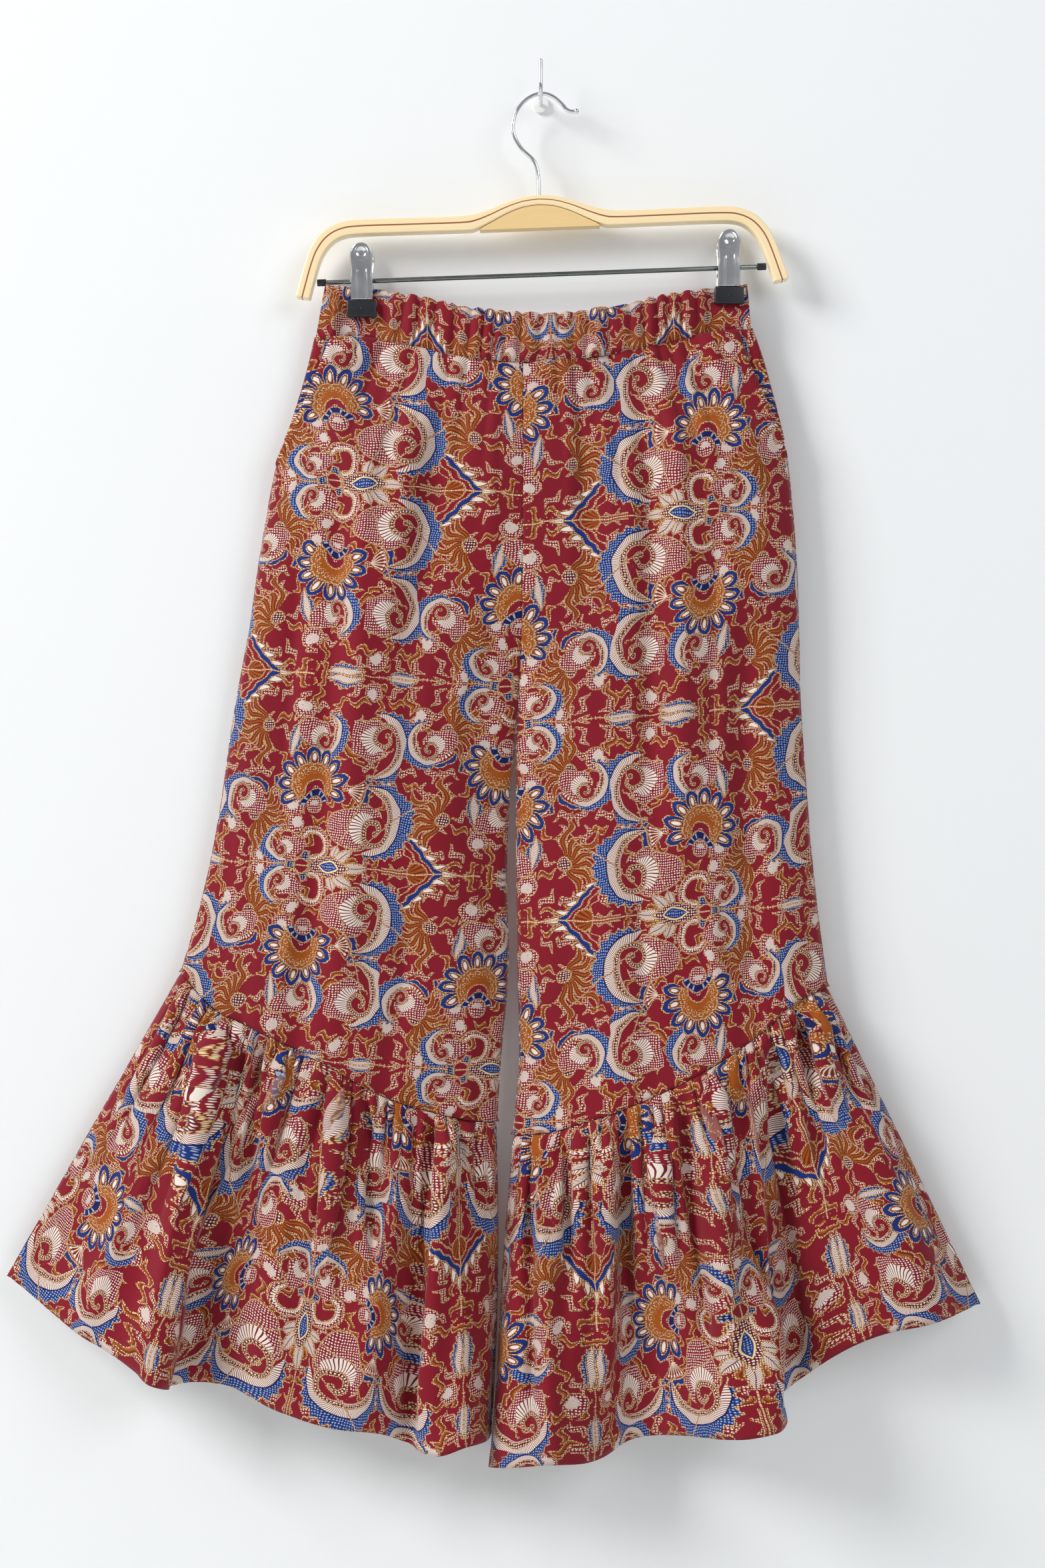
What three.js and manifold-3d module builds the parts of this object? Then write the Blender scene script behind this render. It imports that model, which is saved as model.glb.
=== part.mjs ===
// Wide-leg trousers in printed cotton: a gathered elastic waistband, four leg panels with slanted side pockets,
// and a gathered flounce round each hem. They hang from a wooden clip hanger on a small wall hook.
// Millimetres. +X is to the viewer's right, +Y goes into the wall and +Z is up.
// The origin is the centre of the wall hook's flat back face. A "drop" is a distance below the origin.
import * as THREE from "three";
import { mergeVertices } from "three/addons/utils/BufferGeometryUtils.js";
import Module from "manifold-3d";

const wasm = await Module();
wasm.setup();

// Driving sizes
const hangPlane = -20; // Y of the hanger's middle plane, in front of the wall
const seamGap = 0.25; // from a seam to each of the two pieces that meet there
const clothWall = 1.2;
const bandWall = 2.4; // the waistband is folded cloth over elastic
const layerGap = 0.2; // from the hanging plane to the first layer of cloth

const roll = THREE.MathUtils.degToRad(2.1); // the hanger hangs with its right end high
const crownX = -1.5; // where the hook's shank enters the wood
const crownDrop = 75.5;
const hangerDepth = 12;
const rodBelowCrown = 60;
const rodRadius = 1.8;
const rodHalfLength = 165;
const capLength = 7;
const capRadius = 2.7;
const wireRadius = 1.6;

const plateRadius = 6.5; // wall plate of the small hook
const plateThickness = 3;

const clipWidth = 17.6;
const clipAbove = 26.7; // from the rod up to the clip's rounded top
const clipMetal = 1;
const tip = { width: 23, height: 12.8, depth: 5.2, inner: 2.95, top: -16 };
const spring = { outer: 5.6, inner: 2.4, length: 10.5 };
const clips = [
  { name: "left", x: -137, rodDrop: 140.4 },
  { name: "right", x: 144, rodDrop: 130.2 },
];

// Outline of each leg, from the waist seam to the flounce seam. X of the side seam and of the centre seam or
// inseam, how far the front and the back stand off the hanging plane, and how far they do at the centre seam.
const legs = {
  left: {
    towards: -1,
    rows: [
      { drop: 183, outer: -171, inner: -14, front: 8, back: 6, centreFront: 10, centreBack: 7 },
      { drop: 212, outer: -178, inner: -14, front: 15, back: 8, centreFront: 14, centreBack: 9 },
      { drop: 251, outer: -190, inner: -14, front: 20, back: 10, centreFront: 16, centreBack: 10 },
      { drop: 277, outer: -200, inner: -14, front: 22, back: 11, centreFront: 17, centreBack: 11 },
      { drop: 345, outer: -213, inner: -14, front: 23, back: 12, centreFront: 15, centreBack: 10 },
      { drop: 406, outer: -222, inner: -15.8, front: 23, back: 13, centreFront: 9, centreBack: 6 },
      { drop: 451, outer: -230, inner: -17.4, front: 22, back: 13, centreFront: 0, centreBack: 0 },
      { drop: 487, outer: -236, inner: -20, front: 22, back: 13, centreFront: 0, centreBack: 0 },
      { drop: 543, outer: -244, inner: -25, front: 22, back: 13, centreFront: 0, centreBack: 0 },
      { drop: 600, outer: -255, inner: -26, front: 23, back: 13, centreFront: 0, centreBack: 0 },
      { drop: 668, outer: -274, inner: -27, front: 24, back: 13, centreFront: 0, centreBack: 0 },
      { drop: 740, outer: -300, inner: -33, front: 26, back: 13, centreFront: 0, centreBack: 0 },
      { drop: 790, outer: -318, inner: -36, front: 26, back: 13, centreFront: 0, centreBack: 0 },
    ],
    pocket: [
      { drop: 183, line: -158 },
      { drop: 212, line: -170 },
      { drop: 251, line: -187 },
      { drop: 277, line: -199.4 },
      { drop: 300, line: -206 },
    ],
    seam: [
      { x: -280, drop: 664 },
      { x: -251, drop: 695 },
      { x: -218, drop: 711 },
      { x: -168, drop: 735 },
      { x: -119, drop: 763 },
      { x: -61, drop: 781 },
      { x: -36, drop: 785 },
    ],
  },
  right: {
    towards: 1,
    rows: [
      { drop: 176, outer: 160, inner: -13, front: 8, back: 6, centreFront: 10, centreBack: 7 },
      { drop: 202, outer: 169, inner: -13, front: 14, back: 8, centreFront: 14, centreBack: 9 },
      { drop: 251, outer: 182, inner: -13, front: 20, back: 10, centreFront: 16, centreBack: 10 },
      { drop: 277, outer: 187.5, inner: -13, front: 22, back: 11, centreFront: 17, centreBack: 11 },
      { drop: 345, outer: 194, inner: -13, front: 23, back: 12, centreFront: 15, centreBack: 10 },
      { drop: 406, outer: 196.5, inner: -11.4, front: 23, back: 13, centreFront: 9, centreBack: 6 },
      { drop: 451, outer: 197, inner: -10.8, front: 22, back: 13, centreFront: 0, centreBack: 0 },
      { drop: 487, outer: 199, inner: -12.5, front: 22, back: 13, centreFront: 0, centreBack: 0 },
      { drop: 543, outer: 203, inner: -13, front: 22, back: 13, centreFront: 0, centreBack: 0 },
      { drop: 600, outer: 208, inner: -13, front: 23, back: 13, centreFront: 0, centreBack: 0 },
      { drop: 679, outer: 218, inner: -13, front: 24, back: 13, centreFront: 0, centreBack: 0 },
      { drop: 740, outer: 228, inner: -14.5, front: 26, back: 13, centreFront: 0, centreBack: 0 },
      { drop: 800, outer: 238, inner: -20, front: 26, back: 13, centreFront: 0, centreBack: 0 },
    ],
    pocket: [
      { drop: 176, line: 148 },
      { drop: 202, line: 157 },
      { drop: 251, line: 178.5 },
      { drop: 277, line: 186.8 },
      { drop: 300, line: 189.6 },
    ],
    seam: [
      { x: -20, drop: 795 },
      { x: 8, drop: 791 },
      { x: 70, drop: 769 },
      { x: 128, drop: 741 },
      { x: 168, drop: 714 },
      { x: 193, drop: 692 },
      { x: 222, drop: 680 },
    ],
  },
};

// The waistband's top edge and the seam under it sag between the two clips.
const waistTop = [
  { x: -164, drop: 145 },
  { x: -123, drop: 149 },
  { x: -51, drop: 164 },
  { x: -2, drop: 168 },
  { x: 40, drop: 165 },
  { x: 86, drop: 156 },
  { x: 130, drop: 147 },
  { x: 157, drop: 144 },
];
const waistSeam = [
  { x: -172, drop: 183 },
  { x: -120, drop: 185 },
  { x: -61, drop: 198 },
  { x: -15, drop: 202 },
  { x: 43, drop: 198 },
  { x: 115, drop: 183 },
  { x: 161, drop: 176 },
];
const band = { leftTop: -164, leftSeam: -171, rightTop: 157, rightSeam: 160 };
const bandBow = { front: 9, back: 6.5, ends: 1.6 }; // how far the band bows out between and outside the clips
const bandGathers = { front: 24, back: 20, height: 1.7 };
const clipGrip = 15; // the gathers are pressed flat this far each side of a clip's middle

// Long soft folds of the leg panels. Across is 0 at the centre seam and 1 at the side seam; from and to are
// shares of the panel's length. A raise above 0 is a ridge and below 0 a trough.
const legFolds = {
  left_front: [
    { topAcross: 0.34, bottomAcross: 0.47, from: -0.1, to: 0.55, width: 15, raise: -8 },
    { topAcross: 0.43, bottomAcross: 0.6, from: -0.1, to: 0.5, width: 15, raise: 5 },
    { topAcross: 0.74, bottomAcross: 0.58, from: 0.15, to: 1.1, width: 13, raise: -6 },
    { topAcross: 0.66, bottomAcross: 0.5, from: 0.1, to: 1.1, width: 16, raise: 6 },
    { topAcross: 0.86, bottomAcross: 0.8, from: 0.2, to: 0.9, width: 12, raise: -4 },
    { topAcross: 0.2, bottomAcross: 0.16, from: 0.45, to: 1.1, width: 20, raise: 4 },
  ],
  right_front: [
    { topAcross: 0.47, bottomAcross: 0.48, from: -0.1, to: 0.75, width: 13, raise: -8 },
    { topAcross: 0.56, bottomAcross: 0.56, from: -0.1, to: 0.8, width: 15, raise: 6 },
    { topAcross: 0.22, bottomAcross: 0.26, from: -0.1, to: 0.4, width: 12, raise: -5 },
    { topAcross: 0.86, bottomAcross: 0.76, from: 0.35, to: 1.1, width: 14, raise: -6 },
    { topAcross: 0.9, bottomAcross: 0.88, from: 0.4, to: 1.1, width: 13, raise: 4 },
    { topAcross: 0.28, bottomAcross: 0.3, from: 0.5, to: 1.1, width: 20, raise: 4 },
  ],
  left_back: [
    { topAcross: 0.3, bottomAcross: 0.36, from: -0.1, to: 0.7, width: 15, raise: -5 },
    { topAcross: 0.6, bottomAcross: 0.55, from: 0.1, to: 1.1, width: 16, raise: -5 },
    { topAcross: 0.8, bottomAcross: 0.78, from: 0.3, to: 1.1, width: 14, raise: -4 },
  ],
  right_back: [
    { topAcross: 0.36, bottomAcross: 0.3, from: -0.1, to: 0.8, width: 15, raise: -5 },
    { topAcross: 0.55, bottomAcross: 0.6, from: 0.2, to: 1.1, width: 16, raise: -5 },
    { topAcross: 0.82, bottomAcross: 0.8, from: 0.1, to: 0.9, width: 14, raise: -4 },
  ],
};

// Hem of each flounce panel, from the inseam to the side seam: X, drop, and how far it stands off the hanging
// plane. Where X turns back, one fold lies over the next.
const hems = {
  left_front: [
    { x: -39, drop: 1024, out: 1 },
    { x: -43.5, drop: 1022, out: 30 },
    { x: -56, drop: 1020, out: 53 },
    { x: -77, drop: 1027, out: 50 },
    { x: -100, drop: 1023, out: 30 },
    { x: -124, drop: 1012, out: 42 },
    { x: -159, drop: 1007, out: 46 },
    { x: -196, drop: 997, out: 36 },
    { x: -234, drop: 983, out: 20 },
    { x: -264, drop: 981, out: 13 },
    { x: -283, drop: 983, out: 17 },
    { x: -289, drop: 981, out: 29 },
    { x: -281, drop: 980, out: 41 },
    { x: -288, drop: 975, out: 52 },
    { x: -301, drop: 965, out: 47 },
    { x: -352, drop: 938, out: 26 },
    { x: -407, drop: 903, out: 1 },
  ],
  right_front: [
    { x: -34, drop: 1048, out: 1 },
    { x: -38, drop: 1042, out: 27 },
    { x: -22, drop: 1037, out: 46 },
    { x: 5.5, drop: 1032, out: 55 },
    { x: 27, drop: 1033, out: 50 },
    { x: 45.5, drop: 1033, out: 33 },
    { x: 68, drop: 1024, out: 16 },
    { x: 90, drop: 1020, out: 18 },
    { x: 111, drop: 1016, out: 35 },
    { x: 133, drop: 1013, out: 55 },
    { x: 155, drop: 1010, out: 65 },
    { x: 177, drop: 1005, out: 57 },
    { x: 183, drop: 1001, out: 43 },
    { x: 170, drop: 998, out: 32 },
    { x: 170, drop: 995, out: 19 },
    { x: 191, drop: 985, out: 10 },
    { x: 223, drop: 961, out: 16 },
    { x: 256, drop: 942, out: 29 },
    { x: 291, drop: 933, out: 31 },
    { x: 335, drop: 924, out: 1 },
  ],
  left_back: [
    { x: -39, drop: 1024, out: 1 },
    { x: -48, drop: 1022, out: 13 },
    { x: -72, drop: 1024, out: 15 },
    { x: -98, drop: 1020, out: 4 },
    { x: -126, drop: 1016, out: 5 },
    { x: -152, drop: 1012, out: 15 },
    { x: -180, drop: 1004, out: 14 },
    { x: -208, drop: 996, out: 4 },
    { x: -238, drop: 984, out: 5 },
    { x: -268, drop: 974, out: 15 },
    { x: -300, drop: 964, out: 13 },
    { x: -330, drop: 948, out: 4 },
    { x: -362, drop: 928, out: 10 },
    { x: -407, drop: 903, out: 1 },
  ],
  right_back: [
    { x: -34, drop: 1049, out: 1 },
    { x: -22, drop: 1042, out: 13 },
    { x: 4, drop: 1038, out: 14 },
    { x: 30, drop: 1032, out: 4 },
    { x: 58, drop: 1025, out: 6 },
    { x: 84, drop: 1020, out: 15 },
    { x: 112, drop: 1014, out: 13 },
    { x: 140, drop: 1006, out: 4 },
    { x: 168, drop: 994, out: 6 },
    { x: 196, drop: 980, out: 15 },
    { x: 226, drop: 966, out: 13 },
    { x: 258, drop: 950, out: 4 },
    { x: 292, drop: 936, out: 10 },
    { x: 335, drop: 925, out: 1 },
  ],
};
const inseamBulge = { left: 3, right: -2.5 }; // the two flounces lean to each other half way down
const flounceGathers = { front: 18, back: 14, height: 2.6, tallestAt: 0.1, goneAt: 0.75 };

// Grids of the walls
const legGrid = { across: 18, down: [0, 0.06, 0.12, 0.17, 0.21, 0.29, 0.38, 0.46, 0.54, 0.64, 0.76, 0.88, 1] };
const bandGrid = { perGather: 4, down: 3 };
const flounceGrid = { perGather: 4, rows: [0, 0.07, 0.2, 0.42, 0.7, 1] };
const facingGrid = { across: 5, down: 6 };

// Materials
const finish = (color, roughness, metalness = 0) => new THREE.MeshStandardMaterial({ color, roughness, metalness });
const printedCotton = finish(0x7a2a2c, 0.85);
const lightWood = finish(0xe9c98f, 0.45);
const coreWood = finish(0xd9ad6b, 0.5);
const chrome = finish(0xc9ccd0, 0.18, 1);
const blackRubber = finish(0x17181a, 0.45);
const whitePlastic = finish(0xf1f3f2, 0.4);

// Small mathematics

const clamp01 = (t) => Math.min(1, Math.max(0, t));
const smooth = (from, to, at) => {
  const t = clamp01((at - from) / (to - from));
  return t * t * (3 - 2 * t);
};
const mix = (a, b, t) => a + (b - a) * t;

// A smooth curve through a table's rows: value of column `to` where column `from` is `at`.
function curveOf(rows, from, to) {
  const sorted = [...rows].sort((a, b) => a[from] - b[from]);
  const keys = sorted.map((row) => row[from]);
  const values = sorted.map((row) => row[to]);
  const last = keys.length - 1;
  const slope = (i) => {
    const before = Math.max(0, i - 1);
    const after = Math.min(last, i + 1);
    return (values[after] - values[before]) / (keys[after] - keys[before]);
  };
  return (at) => {
    const i = Math.min(last - 1, Math.max(0, keys.findIndex((key) => key > at) - 1));
    const start = at >= keys[last] ? last - 1 : i;
    const span = keys[start + 1] - keys[start];
    const t = clamp01((at - keys[start]) / span);
    const t2 = t * t;
    const t3 = t2 * t;
    return (
      (2 * t3 - 3 * t2 + 1) * values[start] +
      (t3 - 2 * t2 + t) * span * slope(start) +
      (3 * t2 - 2 * t3) * values[start + 1] +
      (t3 - t2) * span * slope(start + 1)
    );
  };
}

const waistTopDrop = curveOf(waistTop, "x", "drop");
const waistSeamDrop = curveOf(waistSeam, "x", "drop");

// A point at X, a drop, and a distance off the hanging plane: towards the viewer on the front, towards the wall
// on the back.
function clothPoint(face, x, drop, out) {
  const y = face === "front" ? hangPlane - out : hangPlane + out;
  return new THREE.Vector3(x, y, -drop);
}

// Solids

function facingOut(geometry) {
  const position = geometry.getAttribute("position");
  const index = geometry.index.array;
  const [a, b, c] = [new THREE.Vector3(), new THREE.Vector3(), new THREE.Vector3()];
  let volume = 0;
  for (let i = 0; i < index.length; i += 3) {
    a.fromBufferAttribute(position, index[i]);
    b.fromBufferAttribute(position, index[i + 1]);
    c.fromBufferAttribute(position, index[i + 2]);
    volume += a.dot(b.cross(c));
  }
  if (volume < 0) {
    for (let i = 0; i < index.length; i += 3) [index[i + 1], index[i + 2]] = [index[i + 2], index[i + 1]];
  }
  return geometry;
}

// The closed wall between two grids of points, outer[row][column] and inner[row][column].
function wallBetween(outer, inner) {
  const rows = outer.length;
  const columns = outer[0].length;
  const position = [];
  for (const sheet of [outer, inner]) for (const row of sheet) for (const p of row) position.push(p.x, p.y, p.z);
  const at = (sheet, row, column) => (sheet * rows + row) * columns + column;
  const index = [];
  const quad = (a, b, c, d) => index.push(a, b, c, a, c, d);
  const bottom = rows - 1;
  const end = columns - 1;
  for (let r = 0; r < bottom; r++) {
    for (let c = 0; c < end; c++) {
      quad(at(0, r, c), at(0, r + 1, c), at(0, r + 1, c + 1), at(0, r, c + 1));
      quad(at(1, r, c), at(1, r, c + 1), at(1, r + 1, c + 1), at(1, r + 1, c));
    }
    quad(at(0, r, 0), at(1, r, 0), at(1, r + 1, 0), at(0, r + 1, 0));
    quad(at(0, r, end), at(0, r + 1, end), at(1, r + 1, end), at(1, r, end));
  }
  for (let c = 0; c < end; c++) {
    quad(at(0, 0, c), at(0, 0, c + 1), at(1, 0, c + 1), at(1, 0, c));
    quad(at(0, bottom, c), at(1, bottom, c), at(1, bottom, c + 1), at(0, bottom, c + 1));
  }
  const geometry = new THREE.BufferGeometry();
  geometry.setAttribute("position", new THREE.Float32BufferAttribute(position, 3));
  geometry.setIndex(index);
  return facingOut(geometry);
}

// The outer side of a cloth wall: the inner side's points moved out by the thickness, level with their row.
// Side is +1 where the outer side is on the right of a row's direction, seen from above. At the two ends of a
// row, joints gives the plane in which the neighbour meets this piece, as a direction in X and Y, so that the
// ends are mitred.
function movedOut(inner, thickness, side, joints, edgeDrop = {}) {
  return inner.map((row, r) =>
    row.map((p, c) => {
      const before = row[Math.max(0, c - 1)];
      const after = row[Math.min(row.length - 1, c + 1)];
      const along = new THREE.Vector2(after.x - before.x, after.y - before.y).normalize();
      const normal = new THREE.Vector2(side * along.y, -side * along.x);
      const joint = c === 0 ? joints.start(r) : c === row.length - 1 ? joints.end(r) : normal;
      const reach = thickness / Math.max(0.5, joint.dot(normal));
      const moved = new THREE.Vector3(p.x + joint.x * reach, p.y + joint.y * reach, p.z);
      const drop = r === 0 ? edgeDrop.top : r === inner.length - 1 ? edgeDrop.bottom : undefined;
      if (drop) moved.z = -drop(moved.x);
      return moved;
    }),
  );
}

function gridOf(downs, acrosses, point) {
  return downs.map((v) => acrosses.map((u) => point(u, v)));
}

const steps = (count) => Array.from({ length: count + 1 }, (_, i) => i / count);

// Leg panels

function legCurves(leg) {
  const column = (name) => curveOf(leg.rows, "drop", name);
  return {
    outer: column("outer"),
    inner: column("inner"),
    front: column("front"),
    back: column("back"),
    centreFront: column("centreFront"),
    centreBack: column("centreBack"),
    pocketLine: curveOf(leg.pocket, "drop", "line"),
    seamDrop: curveOf(leg.seam, "x", "drop"),
  };
}
const curves = { left: legCurves(legs.left), right: legCurves(legs.right) };
const fork = { from: 375, to: 445 }; // drops between which the one tube of the hips parts into two legs
const pocket = { until: 0.17, closedAt: 0.21, stand: 3.4 }; // shares of the panel's length, and the mouth's stand

// How far the waistband bows off the hanging plane at X.
function bandStand(face, x) {
  const [gripLeft, gripRight] = clips.map((clip) => clip.x);
  if (x < gripLeft + clipGrip) {
    return bandBow.ends * Math.sin(Math.PI * clamp01((x - band.leftSeam) / (gripLeft - clipGrip - band.leftSeam)));
  }
  if (x > gripRight - clipGrip) return 0;
  const share = (x - gripLeft - clipGrip) / (gripRight - gripLeft - 2 * clipGrip);
  return bandBow[face] * Math.sin(Math.PI * clamp01(share)) ** 0.7;
}

function foldHeight(folds, across, down, panelWidth) {
  let height = 0;
  for (const fold of folds) {
    const middle = mix(fold.topAcross, fold.bottomAcross, down);
    const away = ((across - middle) * panelWidth) / fold.width;
    const fade = smooth(fold.from, fold.from + 0.15, down) * (1 - smooth(fold.to - 0.25, fold.to, down));
    height += fold.raise * fade * Math.exp(-away * away);
  }
  return height;
}

// A point on the inner side of a leg panel. Across runs from the centre seam or inseam to the side seam.
function legPoint(sideName, face, across, down) {
  const leg = curves[sideName];
  const pocketed = face === "front" && down < pocket.closedAt;
  const edgeAt = pocketed ? leg.pocketLine : leg.outer;
  const xAt = (drop) => mix(leg.inner(drop), edgeAt(drop), across);
  let top = 190;
  let bottom = 740;
  for (let pass = 0; pass < 6; pass++) {
    top = waistSeamDrop(xAt(top));
    bottom = leg.seamDrop(xAt(bottom));
  }
  const drop = mix(top + seamGap, bottom - seamGap, down);
  const x = xAt(drop);
  const width = Math.abs(edgeAt(drop) - leg.inner(drop));
  const centre = face === "front" ? leg.centreFront(drop) : leg.centreBack(drop);
  const parted = smooth(fork.from, fork.to, drop);
  const lens = Math.sin(Math.PI * clamp01(across)) ** 0.62;
  const hips = (1 - clamp01(across) ** 4) ** 0.6;
  const bulge = mix(hips * mix(centre, leg[face](drop), smooth(0, 0.5, across)), leg[face](drop) * lens, parted);
  const folds = foldHeight(legFolds[`${sideName}_${face}`], across, down, width) * Math.min(1, lens * 1.15);
  const mouth = face === "front" && down <= pocket.until + 1e-6 ? pocket.stand * smooth(0.7, 0.86, across) : 0;
  const stand = mix(bandStand(face, x), bulge + folds, smooth(0, 0.16, down));
  return clothPoint(face, x, drop, layerGap + Math.max(0, stand, mouth));
}

const outerSide = (sideName, face) => legs[sideName].towards * (face === "front" ? 1 : -1);
const sideways = (towards) => () => new THREE.Vector2(towards, 0);

function legWalls(sideName, face) {
  const towards = legs[sideName].towards;
  const inner = gridOf(legGrid.down, steps(legGrid.across), (u, v) => legPoint(sideName, face, u, v));
  const centre = (row) => {
    const parted = smooth(fork.from, fork.to, -inner[row][0].z);
    return new THREE.Vector2(-towards * parted, (face === "front" ? -1 : 1) * (1 - parted)).normalize();
  };
  const joints = { start: centre, end: sideways(towards) };
  const top = (x) => waistSeamDrop(x) + seamGap;
  return { inner, outer: movedOut(inner, clothWall, outerSide(sideName, face), joints, { top }) };
}

function legPanel(sideName, face) {
  const { inner, outer } = legWalls(sideName, face);
  return wallBetween(outer, inner);
}

// The pocket's facing: it fills the side between the slanted mouth and the side seam, and reaches under the
// front panel.
const facing = { under: 16, slope: 0.05, bottom: 262 };

function pocketFacing(sideName) {
  const leg = curves[sideName];
  const towards = legs[sideName].towards;
  const inner = gridOf(steps(facingGrid.down), steps(facingGrid.across), (u, v) => {
    const sideTop = leg.outer(184);
    const top = waistSeamDrop(sideTop) + seamGap + 0.6;
    const drop = mix(top, facing.bottom, v);
    const side = leg.outer(drop);
    const reach = leg.pocketLine(drop) - towards * facing.under;
    const x = mix(reach, side, u);
    return clothPoint("front", x, Math.max(drop, waistSeamDrop(x) + seamGap + 0.4), layerGap + facing.slope * Math.abs(x - side));
  });
  const ahead = () => new THREE.Vector2(0, -1);
  const joints = { start: ahead, end: sideways(towards) };
  return wallBetween(movedOut(inner, clothWall, outerSide(sideName, "front"), joints), inner);
}

// Waistband

function gatherWave(count, share) {
  const uneven = 0.32 * Math.sin(2 * Math.PI * 2.3 * share + 0.6) + 0.2 * Math.sin(2 * Math.PI * 5.1 * share);
  return 0.5 - 0.5 * Math.cos(2 * Math.PI * (count * share + uneven));
}

function waistband(face) {
  const count = bandGathers[face];
  const columns = steps(count * bandGrid.perGather);
  const inner = gridOf(steps(bandGrid.down), columns, (u, v) => {
    const x = mix(mix(band.leftTop, band.leftSeam, v), mix(band.rightTop, band.rightSeam, v), u);
    const drop = mix(waistTopDrop(x), waistSeamDrop(x) - seamGap, v);
    const toClip = Math.min(...clips.map((clip) => Math.abs(x - clip.x)));
    const free = smooth(clipGrip - 2, clipGrip + 9, toClip);
    const atEnds = smooth(0, 0.03, u) * (1 - smooth(0.97, 1, u));
    const wave = bandGathers.height * gatherWave(count, u) * free * atEnds;
    return clothPoint(face, x, drop, layerGap + bandStand(face, x) + wave);
  });
  const joints = { start: sideways(-1), end: sideways(1) };
  const bottom = (x) => waistSeamDrop(x) - seamGap;
  return wallBetween(movedOut(inner, bandWall, face === "front" ? 1 : -1, joints, { top: waistTopDrop, bottom }), inner);
}

// Flounces

function flounce(sideName, face) {
  const name = `${sideName}_${face}`;
  const hem = new THREE.CatmullRomCurve3(
    hems[name].map((row) => clothPoint(face, row.x, row.drop, Math.max(row.out, layerGap))),
    false,
    "centripetal",
  );
  hem.arcLengthDivisions = 600;
  const count = flounceGathers[face];
  const outward = face === "front" ? -1 : 1;
  const leg = legWalls(sideName, face);
  const underSeam = (edge, u) => {
    const at = u * legGrid.across;
    const i = Math.min(legGrid.across - 1, Math.floor(at));
    const point = edge[i].clone().lerp(edge[i + 1], at - i);
    point.z -= 2 * seamGap;
    return point;
  };
  const columns = steps(count * flounceGrid.perGather);
  const inner = gridOf(flounceGrid.rows, columns, (u, v) => {
    const top = underSeam(leg.inner.at(-1), u);
    const low = hem.getPointAt(u);
    const stand = mix(top.y, low.y, v ** 1.15);
    const { height, tallestAt, goneAt } = flounceGathers;
    const rise = smooth(0, tallestAt, v) * (1 - smooth(tallestAt, goneAt, v));
    const atEnds = smooth(0, 0.04, u) * (1 - smooth(0.96, 1, u));
    const wave = height * rise * atEnds * gatherWave(count, u);
    const lean = inseamBulge[sideName] * Math.sin(Math.PI * v) * (1 - smooth(0, 0.15, u));
    return new THREE.Vector3(mix(top.x, low.x, v) + lean, stand + outward * wave, mix(top.z, low.z, v));
  });
  const towards = legs[sideName].towards;
  const joints = { start: sideways(-towards), end: sideways(towards) };
  const outer = movedOut(inner, clothWall, outerSide(sideName, face), joints);
  outer[0] = columns.map((u) => underSeam(leg.outer.at(-1), u));
  return wallBetween(outer, inner);
}

// Hanger

function splinePoints(points, divisions) {
  return new THREE.SplineCurve(points.map(([x, z]) => new THREE.Vector2(x, z))).getPoints(divisions);
}

// A flat outline in X and Z, given a depth along Y about the hanging plane's own zero.
function board(outline, depth) {
  const geometry = new THREE.ExtrudeGeometry(new THREE.Shape(outline), { depth, bevelEnabled: false, curveSegments: 1 });
  geometry.rotateX(Math.PI / 2);
  geometry.translate(0, depth / 2, 0);
  return geometry;
}

const mirrored = (points) => points.map((p) => new THREE.Vector2(-p.x, p.y)).reverse();

const bowTop = [[0, 0], [12, -1], [26, -4.9], [39, -9.7], [52, -13], [68, -14], [100, -13.8], [138, -13.6], [153, -15.2], [166, -21.5], [175, -32], [181, -46], [189, -71]];
const bowUnder = [[178, -73], [171, -50], [165.5, -38], [158, -29.8], [149, -26], [134, -25], [100, -25], [66, -25.2], [52, -25.2]];
const crownUnder = [[52, -25.2], [45, -22.8], [36, -18.6], [24, -12.8], [12, -8.8], [0, -7.4]];
const coreTop = [[0, -7.9], [12, -9.3], [24, -13.4], [36, -19.3], [43.5, -23]];

function bow() {
  const right = [...splinePoints(bowTop, 26), ...splinePoints(bowUnder, 18), ...splinePoints(crownUnder, 10).slice(1)];
  const left = mirrored(right).slice(1, -1);
  const solid = solidOf(board([...right, ...left], hangerDepth));
  const bore = new THREE.CylinderGeometry(wireRadius + 0.4, wireRadius + 0.4, 13, 12).rotateX(Math.PI / 2);
  return geometryOf(solid.subtract(solidOf(bore)));
}

function core() {
  const right = [...splinePoints(coreTop, 10), new THREE.Vector2(46, -25.1)];
  return board([...right, ...mirrored(right).slice(0, -1)], hangerDepth - 1);
}

function solidOf(geometry) {
  const bare = geometry.clone();
  bare.deleteAttribute("normal");
  bare.deleteAttribute("uv");
  const merged = mergeVertices(bare, 1e-3);
  const mesh = new wasm.Mesh({
    numProp: 3,
    vertProperties: merged.attributes.position.array,
    triVerts: new Uint32Array(merged.index.array),
  });
  return new wasm.Manifold(mesh);
}

function geometryOf(solid) {
  const mesh = solid.getMesh();
  const geometry = new THREE.BufferGeometry();
  geometry.setAttribute("position", new THREE.BufferAttribute(mesh.vertProperties, 3));
  geometry.setIndex(new THREE.BufferAttribute(mesh.triVerts, 1));
  return geometry;
}

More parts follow.
